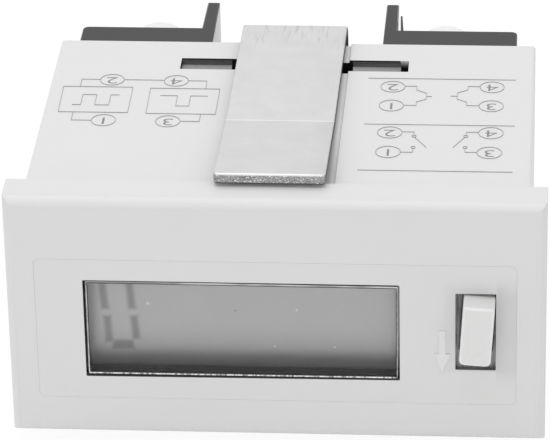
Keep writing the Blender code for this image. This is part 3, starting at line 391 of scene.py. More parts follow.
def displayGlass(digit):
    # brushed reflector with the digit, painted shade at its foot and specks of dust
    look = Look("displayGlass", 0.47, 0.75)
    across, back, up = look.place()
    cloud = look.noise(5.0, 3.0)
    fine = look.noise(0.3, 3.0, (0.12, 1, 1))
    tone = look.shade(cloud * 0.6 + fine * 0.4, 0.94, 1.06)
    lit = segmentMask(look, across, up, digit)
    tone = look.mix(lit * digit["depth"], tone, digit["ink"])
    # painted shade towards the foot of the glass
    foot = 1 - look.smooth(up, digit["dimTo"], digit["dimFrom"])
    tone = look.mix(foot * (1 - digit["dimShare"]), tone, 0.0)
    for x, z, radius, speck in digit["dust"]:
        away = ((across - x) ** 2.0 + (up - z) ** 2.0) ** 0.5
        grain = 1 - look.smooth(away, radius / 2, radius)
        tone = look.mix(grain * 0.5, tone, speck)
    return look.finish(tone, cloud * 0.06 + 0.36, (fine, 0.6))


def circuitBoard():
    look = Look("circuitBoard", (0.03, 0.13, 0.06))
    values = {"Vector": look.where(), "Scale": 260.0, "Distortion": 1.2, "Detail": 1.0}
    settings = {"wave_type": "BANDS", "bands_direction": "DIAGONAL", "wave_profile": "SAW"}
    tracks = look.smooth(look.node("TexWave", values, **settings), 0.42, 0.5)
    weave = look.noise(0.25)
    colour = look.mix(tracks, look.colour, (0.05, 0.20, 0.09))
    return look.finish(colour, weave * 0.1 + 0.3, (tracks, 25.0), (weave, 2.0))


def stampedBrass():
    look = Look("stampedBrass", (0.66, 0.50, 0.27), 1.0)
    cloud = look.noise(1.2, 4.0)
    line = look.noise(0.05, 2.0, (0.08, 1, 1))
    return look.finish(look.shade(cloud, 0.86, 1.08), line * 0.18 + 0.22, (line, 1.5), (cloud, 4.0))


def sleeve(name, tone, roughness, axis, start):
    # printed film shrunk round a round part, with a paler band from start to its end
    look = Look(name, tone)
    edge = look.smooth(look.place()[axis], start, start + 0.1)
    cloud = look.noise(2.5)
    plain = look.shade(cloud, 0.92, 1.08)
    colour = look.mix(edge, plain, (0.62, 0.62, 0.63))
    return look.finish(colour, cloud * 0.12 + (roughness - 0.06), (look.noise(0.5), 6.0))


digit = {
    # bars run from (right, up) to (right, up), in millimetres from the middle of the front
    "bars": [
        ((-15.6, 2.8), (-15.39, -0.01)), ((-15.24, -0.73), (-15.12, -3.4)),
        ((-13.15, 2.8), (-12.96, 0.04)), ((-12.84, -0.68), (-12.67, -3.05)),
        ((-14.75, -3.52), (-12.95, -3.49)), ((-14.85, -3.75), (-12.95, -3.7)),
    ],
    "halfWidth": 0.33, "blur": 0.28, "depth": 0.62, "ink": 0.15,
    # painted shade: the glass darkens from dimFrom down to dimTo, to dimShare of its tone
    "dimFrom": -1.2, "dimTo": -5.6, "dimShare": 0.66,
    "dust": [(-11.53, 0.63, 0.22, 0.8), (1.8, 0.18, 0.16, 0.8), (-0.24, -3.57, 0.13, 0.8),
             (5.15, -3.56, 0.13, 0.8), (-3.7, 0.02, 0.12, 0.1)],
}
cellBand = placeOf(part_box("battery")[1]).x - 1.6
capacitorBand = placeOf(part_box("capacitor")[1]).y - 0.3

finishes = {
    "case": casePlastic((0.77, 0.77, 0.768), wall=5.1, floorTop=10.95, strapEdge=4.4),
    "slot": slotShade(9.9),
    "plate": platePlastic((0.765, 0.765, 0.763), (16.0, 19.57, -4.55, 3.17)),
    # the walls of the plate's openings: painted shade
    "wall": moulded("wallGrey", 0.15, 0.5, 0.2),
    "mark": moulded("markWhite", 0.8, 0.4),
    # the arrow's flanks: a darker copy of the mark, painted shade
    "markEdge": moulded("markEdge", 0.62, 0.4),
    "key": moulded("keyWhite", (0.79, 0.79, 0.785), 0.28, 0.01),
    # a paler copy of the key's plastic: painted highlight on its edges
    "keyEdge": moulded("keyEdge", 0.87, 0.25, 0.01),
    "dark": moulded("darkPlastic", 0.012, 0.14, 0.3, 1.5, ior=1.4),
    # the hook facets: a paler copy of the dark plastic, painted light
    "hookFacet": moulded("hookFacet", 0.31, 0.4, 0.45, 30.0, 0.3),
    "hookTooth": hookTooth(),
    "slider": streakedPlastic(),
    "frame": framePlastic(-5.75, -5.45),
    "black": moulded("blackPlastic", 0.02, 0.4, 0.1),
    "rubber": moulded("contactRubber", (0.09, 0.09, 0.095), 0.75, 0.1, 8.0, 0.2),
    "resin": moulded("chipResin", 0.015, 0.25, 0.1, 6.0, 0.6),
    "ink": printedInk(),
    "strap": strapSteel(15.5),
    "cut": cutSteel(low=12.38, high=12.46, tip=3.1),
    "screw": plated("screwSteel", (0.88, 0.88, 0.885), 0.28),
    "clamp": plated("clampSteel", (0.74, 0.74, 0.745), 0.34),
    "wire": plated("springWire", (0.62, 0.62, 0.63), 0.25),
    "can": plated("crystalCan", (0.68, 0.68, 0.69), 0.22),
    "tab": plated("tabNickel", (0.66, 0.64, 0.60), 0.32),
    "brass": stampedBrass(),
    "clear": clearPlastic(),
    "rim": lensRim(),
    "display": displayGlass(digit),
    "board": circuitBoard(),
    "cell": sleeve("cellSleeve", (0.30, 0.34, 0.42), 0.35, 0, cellBand),
    "capacitor": sleeve("capacitorSleeve", (0.02, 0.03, 0.07), 0.4, 1, capacitorBand),
}
print("finishes made")


# Mesh helpers

def linked(name, data):
    obj = bpy.data.objects.new(name, data)
    bpy.context.scene.collection.objects.link(obj)
    return obj


def meshOf(obj):
    # what the object and its modifiers make, as a plain mesh
    whole = bpy.context.evaluated_depsgraph_get()
    return bpy.data.meshes.new_from_object(obj.evaluated_get(whole))


def evaluated(obj):
    mesh = meshOf(obj)
    obj.modifiers.clear()
    obj.data = mesh
    return obj


def smoothed(name, shape, angle=None):
    # the shape as an object with smooth faces, its edges past the angle sharp
    mesh = bpy.data.meshes.new(name)
    shape.to_mesh(mesh)
    shape.free()
    mesh.shade_smooth()
    if angle:
        mesh.set_sharp_from_angle(angle=math.radians(angle))
    return linked(name, mesh)


def fromShape(name, shape):
    bmesh.ops.remove_doubles(shape, verts=shape.verts, dist=1e-7)
    bmesh.ops.recalc_face_normals(shape, faces=shape.faces)
    return smoothed(name, shape, 38)


def bridged(shape, one, two):
    # the faces between two rings of points
    pairs = list(zip(one, two))
    return [shape.faces.new((a, c, d, b)) for (a, b), (c, d) in zip(pairs, pairs[1:] + pairs[:1])]


def leaned(shape, centre, angle):
    # turned about the line that runs from front to back through centre
    turn = Matrix.Translation(centre) @ Matrix.Rotation(angle, 4, "Y") @ Matrix.Translation(-centre)
    bmesh.ops.transform(shape, matrix=turn, verts=shape.verts)


def solidCopy(node):
    # a CAD node's triangles as one closed mesh of flat faces
    shape = bmesh.new()
    shape.from_mesh(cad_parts[node].data)
    bmesh.ops.remove_doubles(shape, verts=shape.verts, dist=2e-6)
    bmesh.ops.dissolve_limit(
        shape, angle_limit=math.radians(0.5), verts=shape.verts, edges=shape.edges
    )
    return shape


def softened(node, name, edge, segments=2, share=None, reshape=None, plain=None):
    # a CAD node's own shape with its hard edges rounded, by share(place) of edge where it is
    # given; faces above plain square millimetres are shaded flat
    shape = solidCopy(node)
    if reshape:
        reshape(shape)
    weights = shape.edges.layers.float.new("bevel_weight_edge")
    for line in shape.edges:
        if line.calc_face_angle(0.0) > math.radians(40):
            middle = placeOf((line.verts[0].co + line.verts[1].co) / 2)
            line[weights] = share(middle) if share else 1.0
            line.smooth = line[weights] > 0
    obj = smoothed(name, shape)
    bevel = obj.modifiers.new("edges", "BEVEL")
    bevel.width = edge * mm
    bevel.segments = segments
    bevel.limit_method = "WEIGHT"
    bevel.use_clamp_overlap = False
    if not plain:
        obj.modifiers.new("flat faces", "WEIGHTED_NORMAL").keep_sharp = True
        return evaluated(obj)
    evaluated(obj)
    for face in obj.data.polygons:
        face.use_smooth = face.area < plain * mm * mm
    return obj


def settle(obj, body, slotName, *looks, replaced=None):
    # the piece gets its finishes and the body it rides, and the node it stands for is hidden; slotName
    # is not used
    for look in looks:
        obj.data.materials.append(finishes[look])
    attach(obj, body)
    if replaced:
        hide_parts(replaced)


def dress(node, name, slotName, *looks, body="housing", **shaping):
    # a softened copy takes the CAD node's place
    settle(softened(node, name, **shaping), body, slotName, *looks, replaced=node)


def wireFrame(lines):
    # loose edges through the given points, for a recipe to follow
    mesh = bpy.data.meshes.new("lines")
    points = []
    edges = []
    for line in lines:
        start = len(points)
        points += [tuple(p) for p in line]
        edges += [(start + i, start + i + 1) for i in range(len(line) - 1)]
    mesh.from_pydata(points, edges, [])
    return mesh


# Geometry Nodes recipes

class Recipe(Tree):
    family = "GeometryNode"

    def __init__(self, name, sizes):
        group = bpy.data.node_groups.new(name, "GeometryNodeTree")
        super().__init__(group)
        shape = "NodeSocketGeometry"
        group.interface.new_socket("Shape", in_out="OUTPUT", socket_type=shape)
        group.interface.new_socket("Base", in_out="INPUT", socket_type=shape)
        self.keys = {}
        kinds = {int: "NodeSocketInt", float: "NodeSocketFloat", str: "NodeSocketMaterial"}
        for size, default in {**sizes, "Finish": ""}.items():
            kind = kinds[type(default)]
            socket = group.interface.new_socket(size, in_out="INPUT", socket_type=kind)
            if default:
                socket.default_value = default
            self.keys[size] = socket.identifier
        self.source = group.nodes.new("NodeGroupInput")
        self.result = group.nodes.new("NodeGroupOutput")

    def size(self, name):
        return Wire(self, self.source.outputs[name])

    def curve(self, kind, **sizes):
        # a curve whose sockets take the recipe's sizes
        values = {key.replace("_", " "): self.size(size) for key, size in sizes.items()}
        return self.node("Curve" + kind, values)

    def sweep(self, path, section, caps=True):
        values = {"Curve": path, "Profile Curve": section, "Fill Caps": caps}
        return self.node("CurveToMesh", values)

    def inked(self, path, caps=True):
        # a flat printed line along the path
        upright = self.node("SetCurveNormal", {0: path}, mode="Z_UP")
        section = self.curve("PrimitiveQuadrilateral", Width="Film", Height="Width")
        return self.sweep(upright, section, caps)

    def close(self, shape):
        whole = self.node("RealizeInstances", {0: shape})
        values = {"Geometry": whole, "Material": self.size("Finish")}
        self.feed(self.result.inputs[0], self.node("SetMaterial", values))
        return self

    def grow(self, name, base=None, **sizes):
        obj = linked(name, base or bpy.data.meshes.new(name))
        modifier = obj.modifiers.new("recipe", "NODES")
        modifier.node_group = self.graph
        for size, value in sizes.items():
            modifier[self.keys[size]] = value
        return evaluated(obj)


def coilRecipe():
    # a wire or a thread wound round the Z axis
    recipe = Recipe("coil", {
        "Turns": 3.0, "Radius": 0.001, "Length": 0.003, "Wire": 0.0001, "Sides": 8, "Steps": 24,
    })
    spiral = recipe.curve(
        "Spiral", Resolution="Steps", Rotations="Turns", Start_Radius="Radius",
        End_Radius="Radius", Height="Length",
    )
    section = recipe.curve("PrimitiveCircle", Resolution="Sides", Radius="Wire")
    return recipe.close(recipe.sweep(spiral, section))


def inkRecipe():
    # flat printed lines along the base's edges
    recipe = Recipe("ink", {"Width": 0.0001, "Film": 0.00002})
    path = recipe.node("MeshToCurve", {0: recipe.size("Base")})
    return recipe.close(recipe.inked(path))


def ringRecipe():
    # a printed ring round each point of the base
    sizes = {"Radius": 0.001, "Width": 0.0001, "Film": 0.00002, "Steps": 32}
    recipe = Recipe("rings", sizes)
    circle = recipe.curve("PrimitiveCircle", Resolution="Steps", Radius="Radius")
    ring = recipe.inked(circle, caps=False)
    points = recipe.node("MeshToPoints", {0: recipe.size("Base")})
    values = {"Points": points, "Instance": ring}
    return recipe.close(recipe.node("InstanceOnPoints", values))


recipes = {"coil": coilRecipe(), "ink": inkRecipe(), "rings": ringRecipe()}
print("recipes made")


# Case and front plate

bodyBack = placeOf(caseHigh).y
slack = 0.1  # a point this close to a face counts as on it
shell = {
    "bezelBack": 3.8, "pocket": 21.6, "side": 22.5, "top": 11.1, "channel": 5.1,
    "pocketShare": 0.25,  # of the round that the other edges get
    "round": 0.7, "wider": 1.3,  # the bezel's round in the solids, and how much wider it is here
    "slotFront": 27.7, "slotBack": 30.5, "slotSide": 10.9, "slotUnder": 9.0,
}


def caseEdges(place):
    # the bezel's and the rear rim's edges are rounded; slots, channel and inner walls stay sharp
    aside, rise = abs(place.x), abs(place.z)
    if place.y > bodyBack - slack:
        return 0.0 if aside < shell["channel"] + 2 * slack else 1.0
    if place.y < slack and aside < shell["pocket"]:
        return shell["pocketShare"]
    onBezel = aside > shell["side"] + slack or rise > shell["top"] + slack
    return 1.0 if onBezel and place.y < shell["bezelBack"] + slack else 0.0


def shapeCase(shape):
    # the bezel's round is wider, and the latch slots' walls take the second finish, the painted slot
    # shade
    corner = placeOf(caseHigh)
    reach = shell["round"] + 0.01
    wider = shell["wider"]
    for point in shape.verts:
        place = placeOf(point.co)
        inX, inZ = corner.x - abs(place.x), corner.z - abs(place.z)
        if place.y > reach or min(inX, inZ) > reach:
            continue
        if inX < reach:
            place.x = math.copysign(corner.x - inX * wider, place.x)
        if inZ < reach:
            place.z = math.copysign(corner.z - inZ * wider, place.z)
        point.co = spot(place.x, place.y * wider, place.z)
    for face in shape.faces:
        middle = placeOf(face.calc_center_median())
        inSlot = shell["slotFront"] < middle.y < shell["slotBack"] and abs(middle.x) < shell["slotSide"]
        if inSlot and abs(middle.z) > shell["slotUnder"] and abs(face.normal.z) < 0.5:
            face.material_index = 1


plate = {
    "corner": 0.4, "spread": 0.092,
    "rim": 0.5,  # what lies further in belongs to an opening
    "outerShare": 0.4,
    "window": (-16.97, 10.95, -5.6, 3.9),  # left, right, bottom, top
    "pull": {"left": -0.11, "right": 0.085, "belowLeft": -0.3, "belowRight": -0.16, "above": 0.0},
    "square": 0.7,
}
plateLow, plateHigh = (placeOf(corner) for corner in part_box("front_plate"))


def pulled(place, window, pull, square):
    # a window corner's point moved to where the photo has it, and its round drawn in
    left, right, bottom, top = window
    roundReach = 0.35
    sideX = left if place.x - left < right - place.x else right
    sideZ = bottom if place.z - bottom < top - place.z else top
    if abs(place.x - sideX) < roundReach and abs(place.z - sideZ) < roundReach:
        place.x += (sideX - place.x) * square
        place.z += (sideZ - place.z) * square
    share = (place.x - left) / (right - left)
    place.x += pull["left"] if sideX == left else pull["right"]
    below = pull["belowLeft"] * (1 - share) + pull["belowRight"] * share
    place.z += below if sideZ == bottom else pull["above"]
    return spot(*place)


def inOpening(place):
    rim = plate["rim"]
    within = plateLow.x + rim < place.x < plateHigh.x - rim
    return within and plateLow.z + rim < place.z < plateHigh.z - rim


def shapePlate(shape):
    # the outer wall moves out to a hairline from its pocket, and the openings' walls are painted dark
    # as shade
    corner = plate["corner"]
    left, right, bottom, top = plate["window"]
    for point in shape.verts:
        place = placeOf(point.co)
        held = Vector((
            min(max(place.x, plateLow.x + corner), plateHigh.x - corner), place.y,
            min(max(place.z, plateLow.z + corner), plateHigh.z - corner),
        ))
        if (place - held).length > corner / 2:
            point.co += (place - held).normalized() * plate["spread"] * mm
        elif left - slack < place.x < right + slack:
            point.co = pulled(place, plate["window"], plate["pull"], plate["square"])
    for face in shape.faces:
        wall = inOpening(placeOf(face.calc_center_median())) and abs(face.normal.y) < 0.5
        face.material_index = 1 if wall else 0


def plateEdges(place):
    return 1.0 if inOpening(place) else plate["outerShare"]


dress("case", "caseShell", "case_grey", "case", "slot",
      edge=0.07, share=caseEdges, reshape=shapeCase)
dress("front_plate", "frontPlate", "plate_grey", "plate", "wall",
      edge=0.04, share=plateEdges, reshape=shapePlate)
print("case made")


# Steel strap: a section with rounded edges swept along its bends

strap = {
    "middle": -0.5, "width": 9.9, "thickness": 0.95,
    "tipY": 2.9, "tipUnder": 12.3, "creaseY": 15.5, "armUnder": 11.25, "backY": 36.2,
    "bend": 1.15, "edge": 0.13, "tipCorner": 0.4, "creaseReach": 0.35,
    "skew": 0.17,  # its rear end lies this much further right
    "cutSides": (0, 1, 5, 6, 7, 15),  # faces round the section that the shears made
    "shadeUnder": (2, 3, 4),  # and the rounded faces under its two ends, dark as a painted shadow line
    "endRows": 4,
}


def strapPath(s):
    # the upper half's middle line: (y, z, direction, half width, half thickness)
    half = s["thickness"] / 2
    slope = math.atan2(s["tipUnder"] - s["armUnder"], s["creaseY"] - s["tipY"])
    rows = []
    tipSteps, bendSteps = 6, 12
    for i in range(tipSteps + 1):
        turn = math.pi / 2 * i / tipSteps
        run = s["tipCorner"] * (1 - math.cos(turn))
        side = s["width"] / 2 - s["tipCorner"] * (1 - math.sin(turn))
        inside = max(0.0, 1 - run / s["edge"])
        thin = s["edge"] * (1 - math.sqrt(1 - inside * inside))
        y = s["tipY"] + run * math.cos(slope)
        z = s["tipUnder"] + half - run * math.sin(slope)
        rows.append((y, z, 0.0 if i == 0 else -slope, side, half - thin))
    reach = s["creaseReach"]
    for share in (-1.0, -0.5, 0.0, 0.5, 1.0):
        y = s["creaseY"] + share * reach
        line = s["armUnder"] + half - min(0.0, share) * reach * math.tan(slope)
        ease = math.tan(slope) * reach * (1 - abs(share)) ** 2 / 4
        rows.append((y, line + ease, -slope * (1 - share) / 2, s["width"] / 2, half))
    radius = s["bend"] + half
    for i in range(bendSteps + 1):
        turn = math.pi / 2 * i / bendSteps
        y = s["backY"] - s["bend"] + radius * math.sin(turn)
        z = s["armUnder"] - s["bend"] + radius * math.cos(turn)
        rows.append((y, z, -turn, s["width"] / 2, half))
    return rows


def strapSection(side, half, edge):
    # across and outwards, round the section from its lower left
    corners = [(-1, -1, math.pi), (1, -1, 1.5 * math.pi), (1, 1, 0.0), (-1, 1, 0.5 * math.pi)]
    points = []
    for across, out, begin in corners:
        for i in range(4):
            turn = begin + math.pi / 2 * i / 3
            x = across * (side - edge) + edge * math.cos(turn)
            points.append((x, out * (half - edge) + edge * math.sin(turn)))
    return points


def buildStrap(s):
    upper = strapPath(s)
    lower = [(y, -z, math.pi - turn, side, half) for y, z, turn, side, half in reversed(upper)]
    shape = bmesh.new()
    rings = []
    for y, z, turn, side, half in upper + lower:
        middle = s["middle"] + s["skew"] * (y - s["tipY"]) / (s["backY"] - s["tipY"])
        leanY, leanZ = -math.sin(turn), math.cos(turn)
        ring = []
        for across, out in strapSection(side, half, min(s["edge"], half * 0.98)):
            ring.append(shape.verts.new(spot(middle + across, y + out * leanY, z + out * leanZ)))
        rings.append(ring)
    for row, (one, two) in enumerate(zip(rings, rings[1:])):
        atEnd = min(row, len(rings) - 2 - row) < s["endRows"]
        for i, face in enumerate(bridged(shape, one, two)):
            # the sheared sides, and the rounded faces under the ends as painted shade, take the second
            # finish
            cut = i in s["cutSides"] or (atEnd and i in s["shadeUnder"])
            face.material_index = 1 if cut else 0
    for ring in (rings[0], rings[-1][::-1]):
        shape.faces.new(ring).material_index = 1
    bmesh.ops.recalc_face_normals(shape, faces=shape.faces)
    return smoothed("steelStrap", shape, 40)


settle(buildStrap(strap), "clip", "strap_steel", "strap", "cut", replaced="mounting_clip")
print("strap made")


# Window and display

lens = {
    "tilt": math.radians(0.15),  # it sits a touch askew in its hole
    "window": (-16.82, 10.8, -5.45, 3.75),
    "pull": {"left": -0.02, "right": 0.07, "belowLeft": -0.2, "belowRight": -0.08, "above": 0.07},
    "rim": 0.06,
    "rimWider": {"left": 0.06, "right": 0.03, "below": 0.09, "above": 0.11},
    "groove": 0.11,  # painted shade line inside the rim
}


def rimLens(shape):
    # the faces are clear, painted dark as shade on the walls and in the groove, and round the front a
    # rough rim with a painted highlight
    clear, dark, rough = range(3)
    centre = sum(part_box("window_lens"), Vector()) / 2
    wider = lens["rimWider"]
    for point in shape.verts:
        point.co = pulled(placeOf(point.co), lens["window"], lens["pull"], 1.0)
    bmesh.ops.remove_doubles(shape, verts=shape.verts, dist=1e-6)
    for face in shape.faces:
        face.material_index = clear if abs(face.normal.y) > 0.5 else dark
    front = min(shape.faces, key=lambda face: face.calc_center_median().y)
    ring = bmesh.ops.inset_region(shape, faces=[front], thickness=lens["rim"] * mm)["faces"]
    for face in ring:
        face.material_index = rough
    for point in front.verts:
        point.co.z += (wider["below"] if point.co.z < centre.z else -wider["above"]) * mm
        point.co.x += (wider["left"] if point.co.x < centre.x else -wider["right"]) * mm
    ring = bmesh.ops.inset_region(shape, faces=[front], thickness=lens["groove"] * mm)["faces"]
    for face in ring:
        face.material_index = dark
    leaned(shape, centre, lens["tilt"])


# the lens's walls and groove take the black finish as painted shade, its rim the painted highlight
dress("window_lens", "windowLens", "clear_lens", "clear", "black", "rim",
      edge=0.02, segments=1, share=lambda place: 0.0, reshape=rimLens)
dress("lcd_glass", "displayPanel", "display_glass", "display", edge=0.04)
dress("lcd_holder", "displayFrame", "black_plastic", "frame", edge=0.05)
print("display made")


# Reset key, its slider and spring

keyCentre = sum(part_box("key_cap"), Vector()) / 2
keyShape = {
    "lean": math.radians(1.0),  # a little more than the solids' lean
    "front": 1.7,  # the points in front of this are moved
    "top": (2.0, 3.1), "rise": 0.14,  # the top stands closer to the hole's edge
    "foot": (-3.3, -2.2), "drop": 0.12,  # and the foot too
    "slant": (-0.97, -0.05), "facet": 1.2,  # small slanted faces take the painted edge highlight
}


def leanKey(shape):
    (topLow, topHigh), (footLow, footHigh) = keyShape["top"], keyShape["foot"]
    for point in shape.verts:
        place = placeOf(point.co)
        if place.y < keyShape["front"] and topLow < place.z < topHigh:
            point.co.z += keyShape["rise"] * mm
        elif place.y < keyShape["front"] and footLow < place.z < footHigh:
            point.co.z -= keyShape["drop"] * mm
    # small slanted faces get the paler finish, a painted highlight on the key's edges
    low, high = keyShape["slant"]
    for face in shape.faces:
        small = face.calc_area() < keyShape["facet"] * mm * mm
        face.material_index = 1 if small and low < face.normal.y < high else 0
    leaned(shape, keyCentre, keyShape["lean"])


dress("key_cap", "resetKey", "key_white", "key", "keyEdge",
      body="key", edge=0.08, reshape=leanKey)
dress("lock_slider", "keySlider", "dark_plastic", "slider",
      body="key_lock", edge=0.08, reshape=leanKey)

springLow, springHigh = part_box("key_spring")
spring = {"turns": 5.0, "wire": 0.15, "radius": 1.15, "keep": 0.77}


def buildSpring(s):
    length = springHigh.y - springLow.y - 2 * s["wire"] * mm
    obj = recipes["coil"].grow(
        "keySpring", Turns=s["turns"], Radius=s["radius"] * mm, Length=length,
        Wire=s["wire"] * mm, Sides=10, Steps=28, Finish=finishes["wire"],
    )
    middle = (springLow + springHigh) / 2
    start = Vector((middle.x, springLow.y + s["wire"] * mm, middle.z))
    obj.data.transform(Matrix.Translation(start) @ Matrix.Rotation(-math.pi / 2, 4, "X"))
    obj.data.shade_smooth()
    return obj


keySpring = buildSpring(spring)
settle(keySpring, "key_lock", "zinc_steel", replaced="key_spring")
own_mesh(keySpring)
print("key made")


# Arrow beside the key, raised from the plate

arrow = {
    "x": 14.83, "top": -0.56, "neck": -2.92, "tip": -4.9, "shaft": 0.62, "head": 1.5,
    "height": 0.1, "sunk": 0.02, "edge": 0.045,
}


def buildArrow(a):
    half = a["shaft"] / 2
    wide = a["head"] / 2
    outline = [
        (-half, a["top"]), (-half, a["neck"]), (-wide, a["neck"]), (0.0, a["tip"]),
        (wide, a["neck"]), (half, a["neck"]), (half, a["top"]),
    ]
    shape = bmesh.new()
    front = [shape.verts.new(spot(a["x"] + x, -a["height"], z)) for x, z in outline]
    back = [shape.verts.new(spot(a["x"] + x, a["sunk"], z)) for x, z in outline]
    shape.faces.new(front)
    shape.faces.new(back[::-1])
    # the arrow's flanks take a darker copy of its finish, painted shade
    for face in bridged(shape, back, front):
        face.material_index = 1
    rim = [e for e in shape.edges if all(v in front for v in e.verts)]
    bmesh.ops.recalc_face_normals(shape, faces=shape.faces)
    bmesh.ops.bevel(shape, geom=rim, offset=a["edge"] * mm, segments=2, affect="EDGES")
    return fromShape("lockArrow", shape)


settle(buildArrow(arrow), "housing", "plate_grey", "mark", "markEdge")


# Terminal block and its metalwork

screwBoxes = [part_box("terminal_screw_" + n) for n in "1234"]
screwAxes = [placeOf((low + high) / 2) for low, high in screwBoxes]
block = {
    "edge": 0.14, "flat": 0.5, "bore": 2.8, "fin": (9.4, 9.85), "finShare": 0.3,
    "finShift": 0.12, "finFrom": bodyBack + 7.0, "hookEnd": -10.45, "hookStretch": 0.2,
    "hookFront": 27.9, "hookBack": bodyBack - 3.0, "hookUnder": 9.0,
}


def blockEdges(place):
    # hooks and bores stay sharp, and the thin fin nearly so
    if place.y < bodyBack + slack:
        return 0.0
    if block["fin"][0] < place.x < block["fin"][1]:
        return block["finShare"]
    across = min(math.hypot(place.x - axis.x, place.z - axis.z) for axis in screwAxes)
    return 0.0 if across < block["bore"] else 1.0


def trimBlock(shape):
    # the left hooks fill their slots to the end, the fin leans on the post, and the hooks' facets take
    # a painted-light copy of the dark plastic and their teeth one with painted light and shade
    facet, tooth = 1, 2
    for point in shape.verts:
        place = placeOf(point.co)
        if abs(place.x - block["hookEnd"]) < 0.02 and place.y < block["hookBack"]:
            point.co.x -= block["hookStretch"] * mm
        elif block["fin"][0] < place.x < block["fin"][1] and place.y > block["finFrom"]:
            point.co.x -= block["finShift"] * mm
    for face in shape.faces:
        place = placeOf(face.calc_center_median())
        onHook = block["hookFront"] < place.y < block["hookBack"]
        if onHook and abs(place.z) > block["hookUnder"]:
            face.material_index = facet if 0.2 < abs(face.normal.y) < 0.6 else tooth


dress("terminal_block", "terminalBlock", "dark_plastic", "dark", "hookFacet", "hookTooth",
      edge=block["edge"], segments=3, share=blockEdges, reshape=trimBlock, plain=block["flat"])
for n in "1234":
    dress("terminal_plate_" + n, "contactPlate" + n, "contact_brass", "brass", edge=0.08)
    dress("wire_clamp_" + n, "clampPlate" + n, "zinc_steel", "clamp",
          body="clamp_" + n, edge=0.1)

screw = {
    "head": 3.15, "headHeight": 2.75, "crown": 0.6, "seat": 2.3, "shank": 1.6, "length": 7.4,
    "headEdge": 0.12, "fillet": 0.1, "neck": 0.35, "core": 1.4, "point": 1.05, "pointLength": 0.4,
    "recessLength": 3.6, "recessWidth": 0.8, "recessDepth": 1.2, "recessTaper": 0.72,
    "pitch": 0.6, "threadDepth": 0.16, "threadStart": 0.5,
    "plain": 1.1,  # length without thread
}


def buildScrew(name, centre, s):
    # turned about the Z axis, head upwards, then laid along Y
    end = -s["length"]
    profile = [(0.0, end), (s["point"], end), (s["core"], end + s["pointLength"])]
    profile += [(s["core"], -s["neck"]), (s["shank"], -s["fillet"])]
    profile += [(s["shank"] + s["fillet"], 0.0), (s["head"] - s["headEdge"], 0.0)]
    profile += [(s["head"], s["headEdge"]), (s["head"], s["headHeight"] - s["crown"])]
    steps = 6
    for i in range(1, steps + 1):
        turn = math.pi / 2 * i / steps
        x = s["head"] - 2 * s["crown"] * (1 - math.cos(turn))
        profile.append((x, s["headHeight"] - s["crown"] * (1 - math.sin(turn))))
    profile.append((0.0, s["headHeight"]))
    shape = bmesh.new()
    points = [shape.verts.new(Vector((x, 0, z)) * mm) for x, z in profile]
    edges = [shape.edges.new(pair) for pair in zip(points, points[1:])]
    bmesh.ops.spin(
        shape, geom=points + edges, axis=(0, 0, 1), cent=(0, 0, 0), steps=48,
        angle=2 * math.pi, use_merge=True,
    )
    obj = fromShape(name, shape)
    cutter = recessCutter(s)
    boolean = obj.modifiers.new("recess", "BOOLEAN")
    boolean.object = cutter
    boolean.operation = "DIFFERENCE"
    boolean.solver = "EXACT"
    evaluated(obj)
    bpy.data.objects.remove(cutter)
    threaded = s["length"] - s["plain"]
    thread = recipes["coil"].grow(
        name + "Thread", Turns=threaded / s["pitch"], Radius=s["core"] * mm, Sides=4, Steps=40,
        Length=threaded * mm, Wire=s["threadDepth"] * 1.4 * mm, Finish=finishes["screw"],
    )
    thread.data.transform(Matrix.Translation((0, 0, (end + s["threadStart"]) * mm)))
    joined = bmesh.new()
    joined.from_mesh(obj.data)
    joined.from_mesh(thread.data)
    bpy.data.objects.remove(thread)
    joined.to_mesh(obj.data)
    joined.free()
    obj.data.shade_smooth()
    obj.data.set_sharp_from_angle(angle=math.radians(38))
    obj.data.transform(Matrix.Translation(centre) @ Matrix.Rotation(-math.pi / 2, 4, "X"))
    return obj


def recessCutter(s):
    # one cross-shaped outline that narrows towards the recess's floor
    long = s["recessLength"] / 2
    wide = s["recessWidth"] / 2
    quarter = [(long, -wide), (long, wide), (wide, wide)]
    outline = []
    for turn in range(4):
        for x, y in quarter:
            for step in range(turn):
                x, y = -y, x
            outline.append((x, y))
    shape = bmesh.new()
    rings = []
    floor, above = s["headHeight"] - s["recessDepth"], s["headHeight"] + 0.3
    for z, taper in ((floor, s["recessTaper"]), (above, 1.0)):
        rings.append([shape.verts.new(Vector((x * taper, y * taper, z)) * mm) for x, y in outline])
    shape.faces.new(rings[0][::-1])
    shape.faces.new(rings[1])
    bridged(shape, *rings)
    return fromShape("recess", shape)


for n, (low, high) in zip("1234", screwBoxes):
    centre = Vector(((low.x + high.x) / 2, high.y - screw["seat"] * mm, (low.z + high.z) / 2))
    piece = buildScrew("screw" + n, centre, screw)
    settle(piece, "screw_" + n, "zinc_steel", "screw", replaced="terminal_screw_" + n)
print("terminals made")


# Printed diagrams on the top: rings with numbers, boxes, rules and switch symbols

